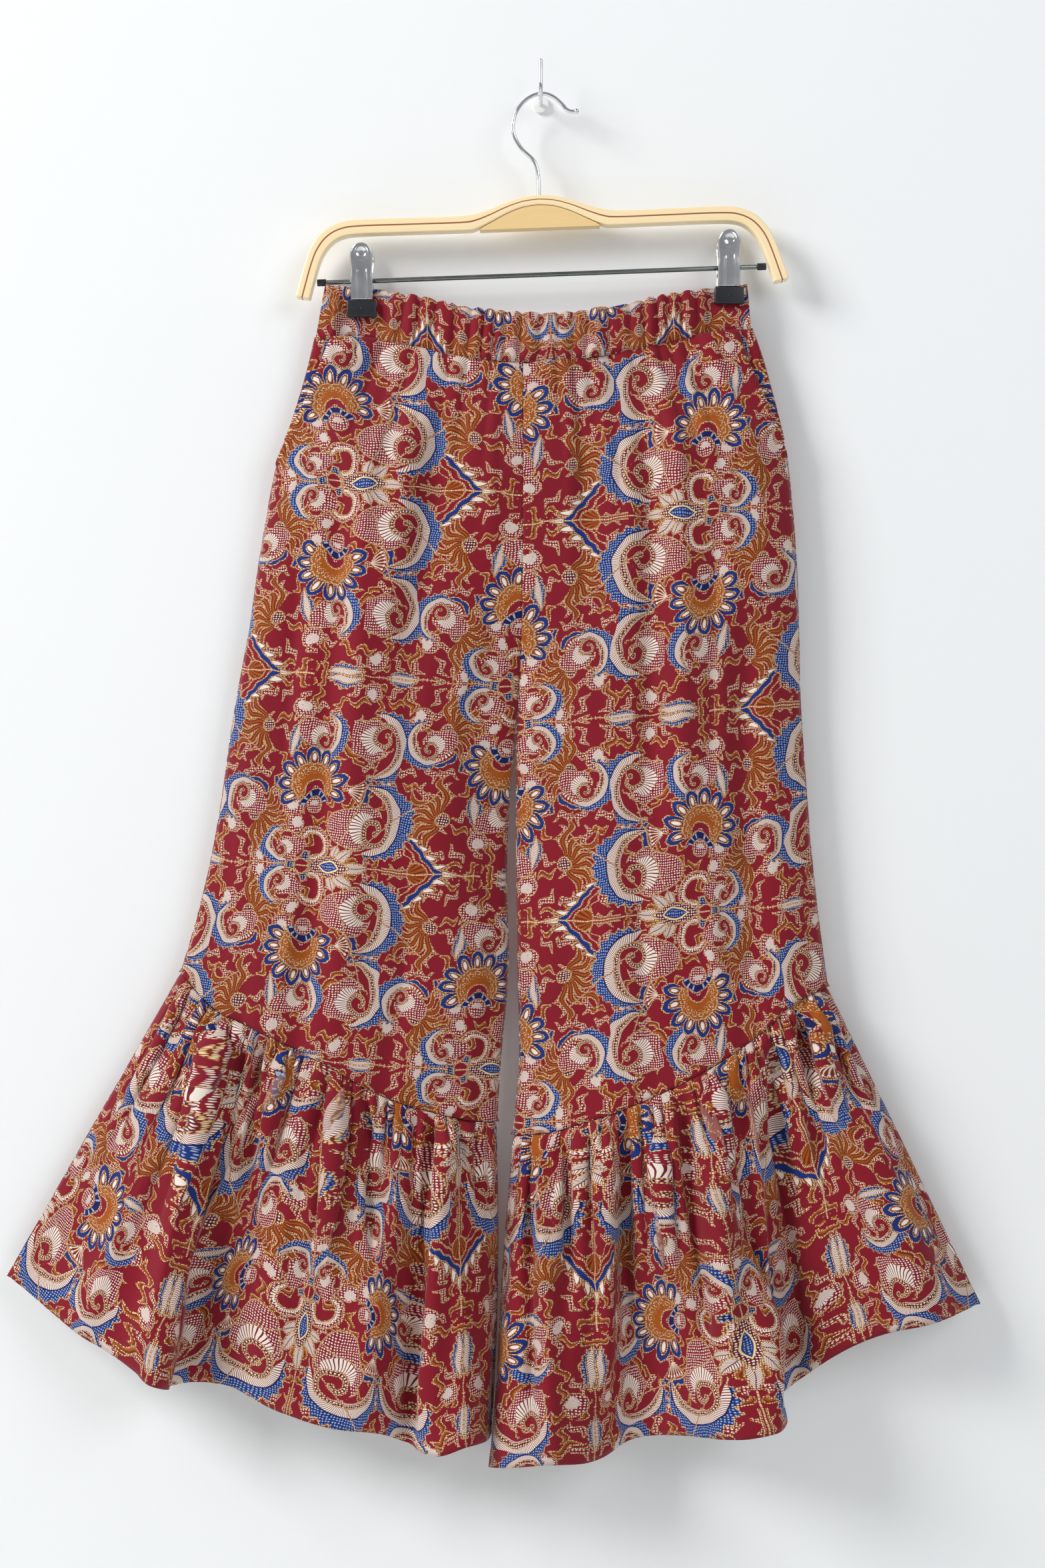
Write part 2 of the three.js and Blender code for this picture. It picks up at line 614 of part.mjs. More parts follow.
// A round wire along a smooth path.
function wire(points, radius, stepCount, sides = 8) {
  const section = new THREE.Shape(
    Array.from({ length: sides }, (_, i) => {
      const angle = (i / sides) * 2 * Math.PI;
      return new THREE.Vector2(radius * Math.cos(angle), radius * Math.sin(angle));
    }),
  );
  const path = new THREE.CatmullRomCurve3(points.map((p) => new THREE.Vector3(...p)), false, "centripetal");
  return new THREE.ExtrudeGeometry(section, { steps: stepCount, extrudePath: path, bevelEnabled: false });
}

// The hanger's hook in X and Z, from inside the crown up round its turn to the ball at its tip.
const hookLine = [[-1.28, -80.5], [-1.5, -75.5], [-2.2, -58], [-5, -48.7], [-15.2, -38.2], [-20.6, -28], [-21.2, -19.5], [-18.8, -10.5], [-12.8, -2.6], [-4.8, 2.3], [2.5, 3.4], [9.8, 0.8], [16.2, -4.6], [20.4, -9.2], [23.6, -10.3], [27.4, -10.1]];

function hangerHook() {
  const rod = wire(hookLine.map(([x, z]) => [x, hangPlane, z]), wireRadius, 30);
  const [tipX, tipZ] = hookLine.at(-1);
  const ball = new THREE.SphereGeometry(2.2, 8, 6).translate(tipX, hangPlane, tipZ);
  return geometryOf(solidOf(rod).add(solidOf(ball)));
}

// The wall hook in Y and Z, from its plate out and up to its rounded tip.
const wallHookLine = [[-plateThickness - 0.3, -0.2], [-9, -0.4], [-19, -0.6], [-25, 1.2], [-28.4, 7], [-28.8, 16], [-27.6, 26.5]];

function wallHook() {
  const shank = wire(wallHookLine.map(([y, z]) => [0, y, z]), wireRadius, 14);
  const [tipY, tipZ] = wallHookLine.at(-1);
  const end = new THREE.SphereGeometry(wireRadius + 0.05, 8, 6).translate(0, tipY, tipZ);
  return geometryOf(solidOf(shank).add(solidOf(end)));
}

function tube(outer, inner, length) {
  const half = length / 2;
  const profile = [[inner, -half], [outer, -half], [outer, half], [inner, half], [inner, -half]];
  const ring = new THREE.LatheGeometry(profile.map(([r, y]) => new THREE.Vector2(r, y)), 16);
  return ring.rotateZ(Math.PI / 2);
}

// Half of a clip's metal, seen from the side: height over the rod and how far its inner face stands off.
const clipSection = [
  { height: -15.7, out: 4.4 },
  { height: -8, out: 5.6 },
  { height: 0, out: 6.9 },
  { height: 12, out: 8.6 },
  { height: clipAbove, out: 11 },
];
const clipOut = curveOf(clipSection, "height", "out");

function clipHalf(face) {
  const towards = face === "front" ? -1 : 1;
  const round = clipWidth / 2;
  const heights = [0, 0.2, 0.45, 0.65, 0.78, 0.86, 0.93, 0.98, 1].map((share) => mix(-15.7, clipAbove, share));
  const sheet = (extra) =>
    heights.map((height) => {
      const rise = Math.max(0, height - (clipAbove - round));
      const half = Math.max(1.6, Math.sqrt(round * round - rise * rise));
      return steps(6).map((u) => {
        const x = mix(-half, half, u);
        const crown = 0.9 * (1 - ((2 * u - 1) * half / round) ** 2);
        return new THREE.Vector3(x, towards * (clipOut(height) + crown + extra), height);
      });
    });
  return wallBetween(sheet(clipMetal), sheet(0));
}

function clipTip(face) {
  const towards = face === "front" ? -1 : 1;
  const shape = new THREE.BoxGeometry(tip.width, tip.depth, tip.height);
  return shape.translate(0, towards * (tip.inner + tip.depth / 2), tip.top - tip.height / 2);
}

// The whole object

const trousersOnHanger = new THREE.Group();

function place(name, geometry, material, parent = trousersOnHanger) {
  const mesh = new THREE.Mesh(geometry, material);
  mesh.name = name;
  parent.add(mesh);
  return mesh;
}

for (const face of ["front", "back"]) {
  place(`waistband_${face}`, waistband(face), printedCotton);
  for (const sideName of ["left", "right"]) {
    place(`leg_${face}_${sideName}`, legPanel(sideName, face), printedCotton);
    place(`flounce_${face}_${sideName}`, flounce(sideName, face), printedCotton);
  }
}
for (const sideName of ["left", "right"]) place(`pocket_facing_${sideName}`, pocketFacing(sideName), printedCotton);

const hanger = new THREE.Group();
hanger.position.set(crownX, hangPlane, -crownDrop);
hanger.rotation.y = -roll;
trousersOnHanger.add(hanger);
place("hanger_bow", bow(), lightWood, hanger);
place("hanger_core", core(), coreWood, hanger);
const rod = place("hanger_rod", new THREE.CylinderGeometry(rodRadius, rodRadius, 2 * rodHalfLength, 12), chrome, hanger);
rod.rotation.z = Math.PI / 2;
rod.position.z = -rodBelowCrown;
for (const [name, towards] of [["left", -1], ["right", 1]]) {
  const cap = place(`rod_cap_${name}`, new THREE.CylinderGeometry(capRadius, capRadius, capLength, 12), blackRubber, hanger);
  cap.rotation.z = Math.PI / 2;
  cap.position.set(towards * (rodHalfLength + 0.3 + capLength / 2), 0, -rodBelowCrown);
}
place("hanger_hook", hangerHook(), chrome);

for (const clip of clips) {
  const group = new THREE.Group();
  group.position.set(clip.x, hangPlane, -clip.rodDrop);
  trousersOnHanger.add(group);
  place(`clip_spring_${clip.name}`, tube(spring.outer, spring.inner, spring.length), chrome, group);
  for (const face of ["front", "back"]) {
    place(`clip_${face}_${clip.name}`, clipHalf(face), chrome, group);
    place(`clip_tip_${face}_${clip.name}`, clipTip(face), blackRubber, group);
  }
}

const wallPlate = place("wall_plate", new THREE.CylinderGeometry(plateRadius, plateRadius, plateThickness, 24), whitePlastic);
wallPlate.position.y = -plateThickness / 2;
place("wall_hook", wallHook(), chrome);

export default trousersOnHanger;
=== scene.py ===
import math

import bmesh
import bpy
import numpy as np
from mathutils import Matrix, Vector


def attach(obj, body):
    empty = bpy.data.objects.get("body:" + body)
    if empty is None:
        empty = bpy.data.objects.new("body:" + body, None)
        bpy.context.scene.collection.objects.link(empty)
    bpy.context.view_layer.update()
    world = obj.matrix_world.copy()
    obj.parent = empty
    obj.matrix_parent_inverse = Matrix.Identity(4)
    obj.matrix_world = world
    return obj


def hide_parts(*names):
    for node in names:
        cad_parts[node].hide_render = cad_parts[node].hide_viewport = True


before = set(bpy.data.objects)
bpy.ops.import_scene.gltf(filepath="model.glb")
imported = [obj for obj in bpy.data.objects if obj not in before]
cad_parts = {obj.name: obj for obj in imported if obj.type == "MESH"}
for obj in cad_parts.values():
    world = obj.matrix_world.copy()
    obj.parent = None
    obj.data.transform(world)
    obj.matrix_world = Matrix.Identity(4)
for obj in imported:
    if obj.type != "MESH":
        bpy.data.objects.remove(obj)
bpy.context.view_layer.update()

print("loaded", len(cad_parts), "nodes")

# Sizes are in millimetres, and a drop is a distance below the origin, as in the CAD source.
mm = 0.001
hangPlane = -20.0  # Y of the plane that the front and the back hang from
seamGap = 0.25  # between a seam and a panel's edge
layerGap = 0.2  # between that plane and a wall
clothWall = 1.2
bandWall = 2.4

# Drop, X of the side seam and of the inner seam, stand of the front and back, stand of both at the centre seam.
legTables = {
    "left": {
        "towards": -1,
        "rows": [
            (183, -171, -14, 8, 6, 10, 7), (212, -178, -14, 15, 8, 14, 9), (251, -190, -14, 20, 10, 16, 10),
            (277, -200, -14, 22, 11, 17, 11), (345, -213, -14, 23, 12, 15, 10), (406, -222, -14.9, 23, 13, 9, 6),
            (451, -230, -17.8, 22, 13, 0, 0), (487, -236, -21, 22, 13, 0, 0), (543, -244, -26, 22, 13, 0, 0),
            (600, -255, -28, 23, 13, 0, 0), (668, -274, -27, 24, 13, 0, 0), (740, -300, -33, 26, 13, 0, 0),
            (790, -318, -36, 26, 13, 0, 0),
        ],
        "pocket": [(183, -158), (212, -170), (251, -187), (277, -199.4), (300, -206)],
        "seam": [(-280, 664), (-251, 695), (-218, 711), (-168, 735), (-119, 763), (-61, 781), (-36, 785)],
    },
    "right": {
        "towards": 1,
        "rows": [
            (176, 160, -13, 8, 6, 10, 7), (202, 169, -13, 14, 8, 14, 9), (251, 182, -13, 20, 10, 16, 10),
            (277, 187.5, -13, 22, 11, 17, 11), (345, 194, -13, 23, 12, 15, 10), (406, 196.5, -14.0, 23, 13, 9, 6),
            (451, 197, -16.4, 22, 13, 0, 0), (487, 199, -17.0, 22, 13, 0, 0), (543, 203, -17.0, 22, 13, 0, 0),
            (600, 208, -16.6, 23, 13, 0, 0), (679, 218, -15.5, 24, 13, 0, 0), (740, 228, -14.5, 26, 13, 0, 0),
            (800, 238, -20, 26, 13, 0, 0),
        ],
        "pocket": [(176, 148), (202, 157), (251, 178.5), (277, 186.8), (300, 189.6)],
        "seam": [(-20, 795), (8, 791), (70, 769), (128, 741), (168, 714), (193, 692), (222, 680)],
    },
}
waistTopLine = [(-164, 145), (-123, 149), (-51, 164), (-2, 168), (40, 165), (86, 156), (130, 147), (157, 144)]
waistSeamLine = [(-172, 183), (-120, 185), (-61, 198), (-15, 202), (43, 198), (115, 183), (161, 176)]
bandEnds = {"leftTop": -164, "leftSeam": -171, "rightTop": 157, "rightSeam": 160}
bandBow = {"front": 9, "back": 6.5, "ends": 1.6}
clipPlaces = [("left", -137.0, 140.4), ("right", 144.0, 130.2)]
clipGrip = 15.0

# Share across at the panel's top and bottom, shares of its length from and to, width and height of each fold.
legFolds = {
    "left_front": [
        (0.34, 0.47, -0.1, 0.55, 15, -8), (0.43, 0.6, -0.1, 0.5, 15, 5), (0.74, 0.58, 0.15, 1.1, 13, -6),
        (0.66, 0.5, 0.1, 1.1, 16, 6), (0.86, 0.8, 0.2, 0.9, 12, -4), (0.2, 0.16, 0.45, 1.1, 20, 4),
    ],
    "right_front": [
        (0.47, 0.48, -0.1, 0.75, 13, -8), (0.56, 0.56, -0.1, 0.8, 15, 6), (0.22, 0.26, -0.1, 0.4, 12, -5),
        (0.86, 0.76, 0.35, 1.1, 14, -6), (0.9, 0.88, 0.4, 1.1, 13, 4), (0.28, 0.3, 0.5, 1.1, 20, 4),
    ],
    "left_back": [(0.3, 0.36, -0.1, 0.7, 15, -5), (0.6, 0.55, 0.1, 1.1, 16, -5), (0.8, 0.78, 0.3, 1.1, 14, -4)],
    "right_back": [(0.36, 0.3, -0.1, 0.8, 15, -5), (0.55, 0.6, 0.2, 1.1, 16, -5), (0.82, 0.8, 0.1, 0.9, 14, -4)],
}
# Lighter creases that the solids leave out, in the same columns.
legCreases = {
    "left_front": [
        (0.04, 0.3, 0.36, 0.62, 7, -3.4), (0.02, 0.42, 0.3, 0.55, 9, 3.4), (0.25, 0.27, -0.1, 0.3, 5, -3.8),
        (0.55, 0.52, -0.1, 0.25, 6, -3.8), (0.62, 0.6, -0.1, 0.4, 6, 2.9), (0.9, 0.72, 0.3, 0.8, 6, -3.2),
        (0.35, 0.3, 0.7, 1.1, 8, -3.8), (0.72, 0.68, 0.75, 1.1, 6, 3.4),
    ],
    "right_front": [
        (0.05, 0.34, 0.36, 0.6, 7, -3.2), (0.03, 0.5, 0.3, 0.52, 9, 3.2), (0.36, 0.36, -0.1, 0.35, 5, -3.8),
        (0.68, 0.68, -0.1, 0.3, 5, -3.4), (0.75, 0.62, 0.2, 0.75, 7, -3.2), (0.42, 0.4, 0.65, 1.1, 8, -3.8),
        (0.62, 0.64, 0.7, 1.1, 7, 3.4),
    ],
    "left_back": [(0.2, 0.22, -0.1, 0.4, 6, -3.8), (0.45, 0.4, 0.5, 1.1, 8, -3.8), (0.7, 0.5, 0.2, 0.6, 8, 3.2)],
    "right_back": [(0.22, 0.2, -0.1, 0.4, 6, -3.8), (0.42, 0.45, 0.5, 1.1, 8, -3.8), (0.7, 0.55, 0.2, 0.6, 8, 3.2)],
}

# X, drop and stand of each flounce's hem, from the inseam to the side seam.
hemLines = {
    "left_front": [
        (-39, 1024, 1), (-43.5, 1022, 30), (-56, 1020, 53), (-77, 1027, 50), (-100, 1023, 30), (-124, 1012, 42),
        (-159, 1007, 46), (-196, 997, 36), (-234, 983, 20), (-264, 981, 13), (-283, 983, 17), (-289, 981, 29),
        (-281, 980, 41), (-288, 975, 52), (-301, 965, 47), (-352, 938, 26), (-407, 903, 1),
    ],
    "right_front": [
        (-34, 1048, 1), (-38, 1042, 27), (-22, 1037, 46), (5.5, 1032, 55), (27, 1033, 50), (45.5, 1033, 33),
        (68, 1024, 16), (90, 1020, 18), (111, 1016, 35), (133, 1013, 55), (155, 1010, 65), (177, 1005, 57),
        (183, 1001, 43), (170, 998, 32), (170, 995, 19), (191, 985, 10), (223, 961, 16), (256, 942, 29),
        (291, 933, 31), (335, 924, 1),
    ],
    "left_back": [
        (-39, 1024, 1), (-48, 1022, 13), (-72, 1024, 15), (-98, 1020, 4), (-126, 1016, 5), (-152, 1012, 15),
        (-180, 1004, 14), (-208, 996, 4), (-238, 984, 5), (-268, 974, 15), (-300, 964, 13), (-330, 948, 4),
        (-362, 928, 10), (-407, 903, 1),
    ],
    "right_back": [
        (-34, 1049, 1), (-22, 1042, 13), (4, 1038, 14), (30, 1032, 4), (58, 1025, 6), (84, 1020, 15),
        (112, 1014, 13), (140, 1006, 4), (168, 994, 6), (196, 980, 15), (226, 966, 13), (258, 950, 4),
        (292, 936, 10), (335, 925, 1),
    ],
}
# Flounce folds: X at the seam and at the hem, shares of the drop from and to, width on the side-seam side and on the
# inseam side, and height.
flounceFolds = {
    "left_front": [
        (-240, -293, 0.0, 1.1, 13, 8, 10), (-224, -272, 0.03, 1.0, 6, 9, -10), (-210, -246, 0.0, 0.5, 5, 4, -8),
        (-196, -236, 0.0, 0.45, 6, 7, 7), (-150, -168, 0.0, 0.7, 8, 6, 7), (-132, -122, 0.0, 0.6, 4, 5, -8),
        (-84, -101, 0.0, 1.1, 5, 7, -8), (-71, -88, 0.0, 1.1, 6, 8, 8), (-108, -136, 0.35, 1.1, 14, 12, 7),
        (-176, -208, 0.45, 1.1, 15, 13, 7), (-258, -345, 0.2, 1.1, 16, 13, 6), (-50, -48, 0.0, 0.5, 4, 5, -6),
    ],
    "right_front": [
        (-9, -8, 0.0, 1.0, 3, 4, -6), (3, 8, 0.0, 1.1, 7, 8, 7), (18, 26, 0.0, 0.6, 5, 5, -7),
        (50, 46, 0.05, 0.9, 8, 8, 7), (63, 66, 0.0, 0.7, 5, 6, -8), (86, 104, 0.1, 0.7, 8, 8, 7),
        (108, 126, 0.0, 0.9, 6, 7, -8), (126, 146, 0.0, 0.9, 8, 8, 7), (158, 172, 0.1, 1.1, 5, 10, 10),
        (172, 196, 0.03, 1.1, 9, 5, -11), (205, 250, 0.0, 0.5, 8, 6, 7), (196, 236, 0.0, 0.6, 6, 6, -7),
        (214, 300, 0.3, 1.1, 14, 14, 6),
    ],
    "left_back": [(-90, -100, 0.0, 1.1, 9, 9, -7), (-160, -180, 0.0, 0.9, 9, 9, -7), (-220, -265, 0.1, 1.1, 10, 9, -7)],
    "right_back": [(30, 40, 0.0, 1.1, 9, 9, -7), (95, 110, 0.0, 0.9, 9, 9, -7), (160, 210, 0.1, 1.1, 10, 9, -7)],
}
inseamBulge = {"left": 3.0, "right": -2.5}  # how far a flounce's inner edge bows out
pocketMouth = {"until": 0.17, "closedAt": 0.21, "stand": 5.0, "from": (0.7, 0.86)}
forkDrops = (390, 455)  # where the legs part

# What the shells add to the solids' form.
gridCounts = {"legAcross": 112, "legDown": 150, "cellColumns": 8, "flounceDown": 66, "bandColumns": 300}
bandPuckers = {"count": 27, "height": 3.3, "reach": (22, 120), "fullness": 1.617, "fold": 42, "foot": 8}
seamGathers = {
    "count": {"front": 30, "back": 26}, "height": (3.0, 6.8), "reach": (26, 150), "base": 4.2, "fold": 1.3,
    "baseCount": {"front": 18, "back": 14}, "waves": ((0.3, 3.3, 0.0), (0.25, 7.1, 0.0)), "tuck": 0.7,
}
# Height, run across and run down of each layer of small unevenness in a leg.
legUnevenness = [(1.9, 28, 170), (0.7, 12, 80)]
legStitches = {"pull": (1.1, 16), "lip": (0.8, 1.6), "centreIn": (0.55, 0.5)}
hemFold = {"height": 12.0, "lift": 0.35, "groove": (0.5, 1.4)}
seeds = {
    "leg": {"left": 3, "right": 5}, "flounce": {"left": 31, "right": 37}, "band": {"front": 61, "back": 67},
    "back": 20,
}
shellWall = 0.8  # the cloth's own thickness
wallClear = -0.9  # the back flounces stop short of the wall here
fullTurn = 2 * math.pi


def clamp01(t):
    return np.clip(t, 0.0, 1.0)


def smooth(start, end, at):
    t = clamp01((at - start) / (end - start))
    return t * t * (3 - 2 * t)


def mix(a, b, t):
    return a + (b - a) * t


# 1 round a place and falling off over a width.
def bell(away, width, power=2):
    return np.exp(-((away / width) ** power))


# 0 outside a start and an end, 1 between them, with a rise and a fall of their own lengths.
def window(start, rise, end, fall, at):
    return smooth(start, start + rise, at) * (1 - smooth(end - fall, end, at))


# A smooth curve through (key, value) pairs, the same as the CAD source's.
def curveOf(pairs):
    keys, values = np.array(sorted(pairs), float).T
    last = len(keys) - 1
    before = np.maximum(np.arange(last + 1) - 1, 0)
    after = np.minimum(np.arange(last + 1) + 1, last)
    slopes = (values[after] - values[before]) / (keys[after] - keys[before])

    def at(x):
        x = np.asarray(x, float)
        i = np.clip(np.searchsorted(keys, x, side="right") - 1, 0, last - 1)
        span = keys[i + 1] - keys[i]
        t = clamp01((x - keys[i]) / span)
        t2, t3 = t * t, t * t * t
        return (
            (2 * t3 - 3 * t2 + 1) * values[i]
            + (t3 - 2 * t2 + t) * span * slopes[i]
            + (3 * t2 - 2 * t3) * values[i + 1]
            + (t3 - t2) * span * slopes[i + 1]
        )

    return at


# A line through points that bends by their distances, with a number of steps for each.
def centripetal(points, each=14):
    p = np.array(points, float)
    p = np.concatenate([[2 * p[0] - p[1]], p, [2 * p[-1] - p[-2]]])
    found = []
    for i in range(1, len(p) - 2):
        p0, p1, p2, p3 = p[i - 1 : i + 3]
        d0, d1, d2 = (max(np.linalg.norm(b - a) ** 0.5, 1e-4) for a, b in ((p0, p1), (p1, p2), (p2, p3)))
        v1 = ((p1 - p0) / d0 - (p2 - p0) / (d0 + d1) + (p2 - p1) / d1) * d1
        v2 = ((p2 - p1) / d1 - (p3 - p1) / (d1 + d2) + (p3 - p2) / d2) * d1
        t = np.linspace(0, 1, each, endpoint=i == len(p) - 3)[:, None]
        found.append(p1 + v1 * t + (-3 * p1 + 3 * p2 - 2 * v1 - v2) * t**2 + (2 * p1 - 2 * p2 + v1 + v2) * t**3)
    return np.concatenate(found)


def runOf(line):
    return np.concatenate([[0], np.cumsum(np.linalg.norm(np.diff(line, axis=0), axis=1))])


def placesAt(distances, run, line):
    return np.stack([np.interp(distances, run, column) for column in line.T], axis=-1)


# Smooth random heights from -1 to 1, about one unit apart.
def ripple(x, y, seed):
    table = np.random.default_rng(seed).uniform(-1, 1, (64, 64))
    i, j = np.floor(x).astype(int), np.floor(y).astype(int)
    fx, fy = smooth(0, 1, x - i), smooth(0, 1, y - j)
    at = lambda a, b: table[a % 64, b % 64]
    return mix(mix(at(i, j), at(i + 1, j), fx), mix(at(i, j + 1), at(i + 1, j + 1), fx), fy)


waistTopDrop, waistSeamDrop = curveOf(waistTopLine), curveOf(waistSeamLine)
legCurves = {}
for side, leg in legTables.items():
    columns = ("outer", "inner", "front", "back", "centreFront", "centreBack")
    found = {name: curveOf([(row[0], row[1 + i]) for row in leg["rows"]]) for i, name in enumerate(columns)}
    found["pocketLine"], found["seamDrop"] = curveOf(leg["pocket"]), curveOf(leg["seam"])
    legCurves[side] = found


def outwardOf(face):
    return -1.0 if face == "front" else 1.0


def seedOf(kind, side, face):
    return seeds[kind][side] + (seeds["back"] if face == "back" else 0)


def bandStand(face, x):
    gripLeft, gripRight = clipPlaces[0][1], clipPlaces[1][1]
    outside = clamp01((x - bandEnds["leftSeam"]) / (gripLeft - clipGrip - bandEnds["leftSeam"]))
    between = clamp01((x - gripLeft - clipGrip) / (gripRight - gripLeft - 2 * clipGrip))
    stand = bandBow[face] * np.sin(np.pi * between) ** 0.7
    stand = np.where(x < gripLeft + clipGrip, bandBow["ends"] * np.sin(np.pi * outside), stand)
    return np.where(x > gripRight - clipGrip, 0.0, stand)


def foldHeight(folds, across, down, width):
    height = np.zeros(np.broadcast(across, down, width).shape)
    for topAcross, bottomAcross, start, end, spread, rise in folds:
        away = (across - mix(topAcross, bottomAcross, down)) * width
        height += rise * window(start, 0.15, end, 0.25, down) * bell(away, spread)
    return height


# The inner side of a leg panel, on arrays of shares across and down.
def legPoints(side, face, across, down):
    leg = legCurves[side]
    opened = 1 - smooth(pocketMouth["until"], pocketMouth["closedAt"], down) if face == "front" else 0.0

    def edgeAt(drop):
        return mix(leg["outer"](drop), leg["pocketLine"](drop), opened)

    def xAt(drop):
        return mix(leg["inner"](drop), edgeAt(drop), across)

    top, bottom = np.full(across.shape, 190.0), np.full(across.shape, 740.0)
    for _ in range(6):  # the seams' drops depend on X and X on the drop, so they close in on each other
        top = waistSeamDrop(xAt(top))
        bottom = leg["seamDrop"](xAt(bottom))
    drop = mix(top + seamGap, bottom - seamGap, down)
    x = xAt(drop)
    width = np.abs(edgeAt(drop) - leg["inner"](drop))
    centre = leg["centreFront" if face == "front" else "centreBack"](drop)
    parted = smooth(*forkDrops, drop)
    lens = np.sin(np.pi * clamp01(across)) ** 0.62
    hips = (1 - clamp01(across) ** 4) ** 0.6
    sideStand = leg[face](drop)
    bulge = mix(hips * mix(centre, sideStand, smooth(0, 0.5, across)), sideStand * lens, parted)
    name = f"{side}_{face}"
    folds = foldHeight(legFolds[name], across, down, width) * np.minimum(1, lens * 1.15)
    creases = foldHeight(legCreases[name], across, down, width) * np.minimum(1, lens)
    mouth = pocketMouth["stand"] * smooth(*pocketMouth["from"], across) * opened
    stand = mix(bandStand(face, x), bulge + folds + creases, smooth(0, 0.16, down))
    stand = layerGap + np.maximum(np.maximum(0, stand), mouth)
    return np.stack([x, hangPlane + outwardOf(face) * stand, -drop], axis=-1), parted


# Level directions out of a wall at each point of its rows, with given ones at the two ends.
def outOfRows(points, turn, startJoint, endJoint):
    before = np.concatenate([points[:, :1], points[:, :-1]], axis=1)
    after = np.concatenate([points[:, 1:], points[:, -1:]], axis=1)
    along = (after - before)[..., :2]
    along /= np.maximum(np.linalg.norm(along, axis=-1, keepdims=True), 1e-9)
    normal = turn * np.stack([along[..., 1], -along[..., 0]], axis=-1)
    joint = normal.copy()
    joint[:, 0], joint[:, -1] = startJoint, endJoint
    reach = 1 / np.maximum(0.5, (joint * normal).sum(-1, keepdims=True))
    return np.concatenate([joint * reach, np.zeros(joint.shape[:-1] + (1,))], axis=-1)


def rowLengths(points):
    steps = np.linalg.norm(np.diff(points, axis=1), axis=-1)
    return np.concatenate([np.zeros((len(points), 1)), np.cumsum(steps, axis=1)], axis=1)


def fromEnds(lengths):
    return np.minimum(lengths, lengths[:, -1:] - lengths)


def cellsOf(phase, last):
    whole = np.floor(phase)
    return np.clip(whole.astype(int), 0, last), clamp01(phase - whole)


# Rounded puffs between stitches: each cell has its own height, and its own reach below the seam.
def puffs(phase, below, count, heights, reaches, seed):
    random = np.random.default_rng(seed)
    tall = random.uniform(*heights, count + 2)
    long = random.uniform(0, 1, count + 2) ** 1.8 * (reaches[1] - reaches[0]) + reaches[0]
    cell, share = cellsOf(phase, count + 1)
    rise = 0.3 + 0.7 * smooth(0.0, 8.0, below)
    return tall[cell] * np.sin(np.pi * share) ** 0.6 * rise * bell(below, long[cell], 1.4)


# How many gathers lie before a share of a seam: size, number and start of the waves that make them uneven.
def unevenPhase(count, share, waves=((0.32, 2.3, 0.6), (0.2, 5.1, 0.0))):
    return count * share + sum(size * np.sin(fullTurn * often * share + start) for size, often, start in waves)


# The grain line that the print's centre follows: it leans on the left leg below the hips.
grainLine = {"left": {"x": -14.0, "lean": 0.123}, "right": {"x": -13.0, "lean": 0.0}, "leanFrom": 300.0}
printDown = {"left": (1.045, 311.5), "right": (1.0, 320.0), "slope": 0.065, "slopeFrom": 130, "backShift": 17.0}
flouncePrint = {"from": 60, "left_front": 96.0, "right_front": 40.0, "left_back": 10.0, "right_back": 70.0}


def legShell(side, face):
    towards, outward = legTables[side]["towards"], outwardOf(face)
    across, down = np.meshgrid(*(np.linspace(0, 1, gridCounts[key] + 1) for key in ("legAcross", "legDown")))
    points, parted = legPoints(side, face, across, down)
    centre = np.stack([-towards * parted[:, 0], outward * (1 - parted[:, 0])], axis=-1)
    centre /= np.linalg.norm(centre, axis=-1, keepdims=True)
    out = outOfRows(points, -towards * outward, centre, np.array([towards, 0.0]))
    lengths = rowLengths(points)
    seed = seedOf("leg", side, face)
    drop = -points[..., 2]
    below, above = drop - drop[:1], drop[-1:] - drop
    atTop = (points[0, :, 0] - bandEnds["leftSeam"]) / (bandEnds["rightSeam"] - bandEnds["leftSeam"])
    count, height = bandPuckers["count"], bandPuckers["height"]
    phase = np.broadcast_to(unevenPhase(count, atTop), across.shape)
    free = smooth(0, 22, fromEnds(lengths))
    uneven = 0.5 * ripple(lengths / 34 + drop / 45, drop / 18, seed + 2)
    for i, (rise, wide, tall) in enumerate(legUnevenness):
        uneven = uneven + rise * ripple(lengths / wide, drop / tall + 9 * i, seed + i)
    pull, pulled = legStitches["pull"]
    uneven = uneven + pull * ripple(lengths / 6.5, drop / 60, seed + 3) * bell(above, pulled)
    detail = puffs(phase, below, count, (0.5 * height, 1.4 * height), bandPuckers["reach"], seed) * free + uneven * free
    detail += legStitches["lip"][0] * bell(above, legStitches["lip"][1])
    outer = points + out * (clothWall + np.maximum(detail, -1.0))[..., None]
    sewn = (1 - parted) * bell(lengths, 2.5)
    outer[..., 0] -= towards * legStitches["centreIn"][0] * sewn
    outer[..., 1] -= outward * legStitches["centreIn"][1] * sewn
    leaning = np.maximum(0, drop - grainLine["leanFrom"]) * grainLine[side]["lean"] * towards
    s = lengths + (points[:, :1, 0] - (grainLine[side]["x"] + leaning)) * towards
    if face == "back":
        s = s + printDown["backShift"]
    scale, start = printDown[side]
    t = drop * scale - start + printDown["slope"] * (s - printDown["slopeFrom"])
    return outer, np.stack([s, t], axis=-1)


def hemPoints(name, face):
    rows = np.array(hemLines[name], float)
    stand = np.maximum(rows[:, 2], layerGap)
    line = centripetal(np.stack([rows[:, 0], hangPlane + outwardOf(face) * stand, -rows[:, 1]], axis=-1), 60)
    run = runOf(line)
    return lambda share: placesAt(share * run[-1], run, line), run[-1]


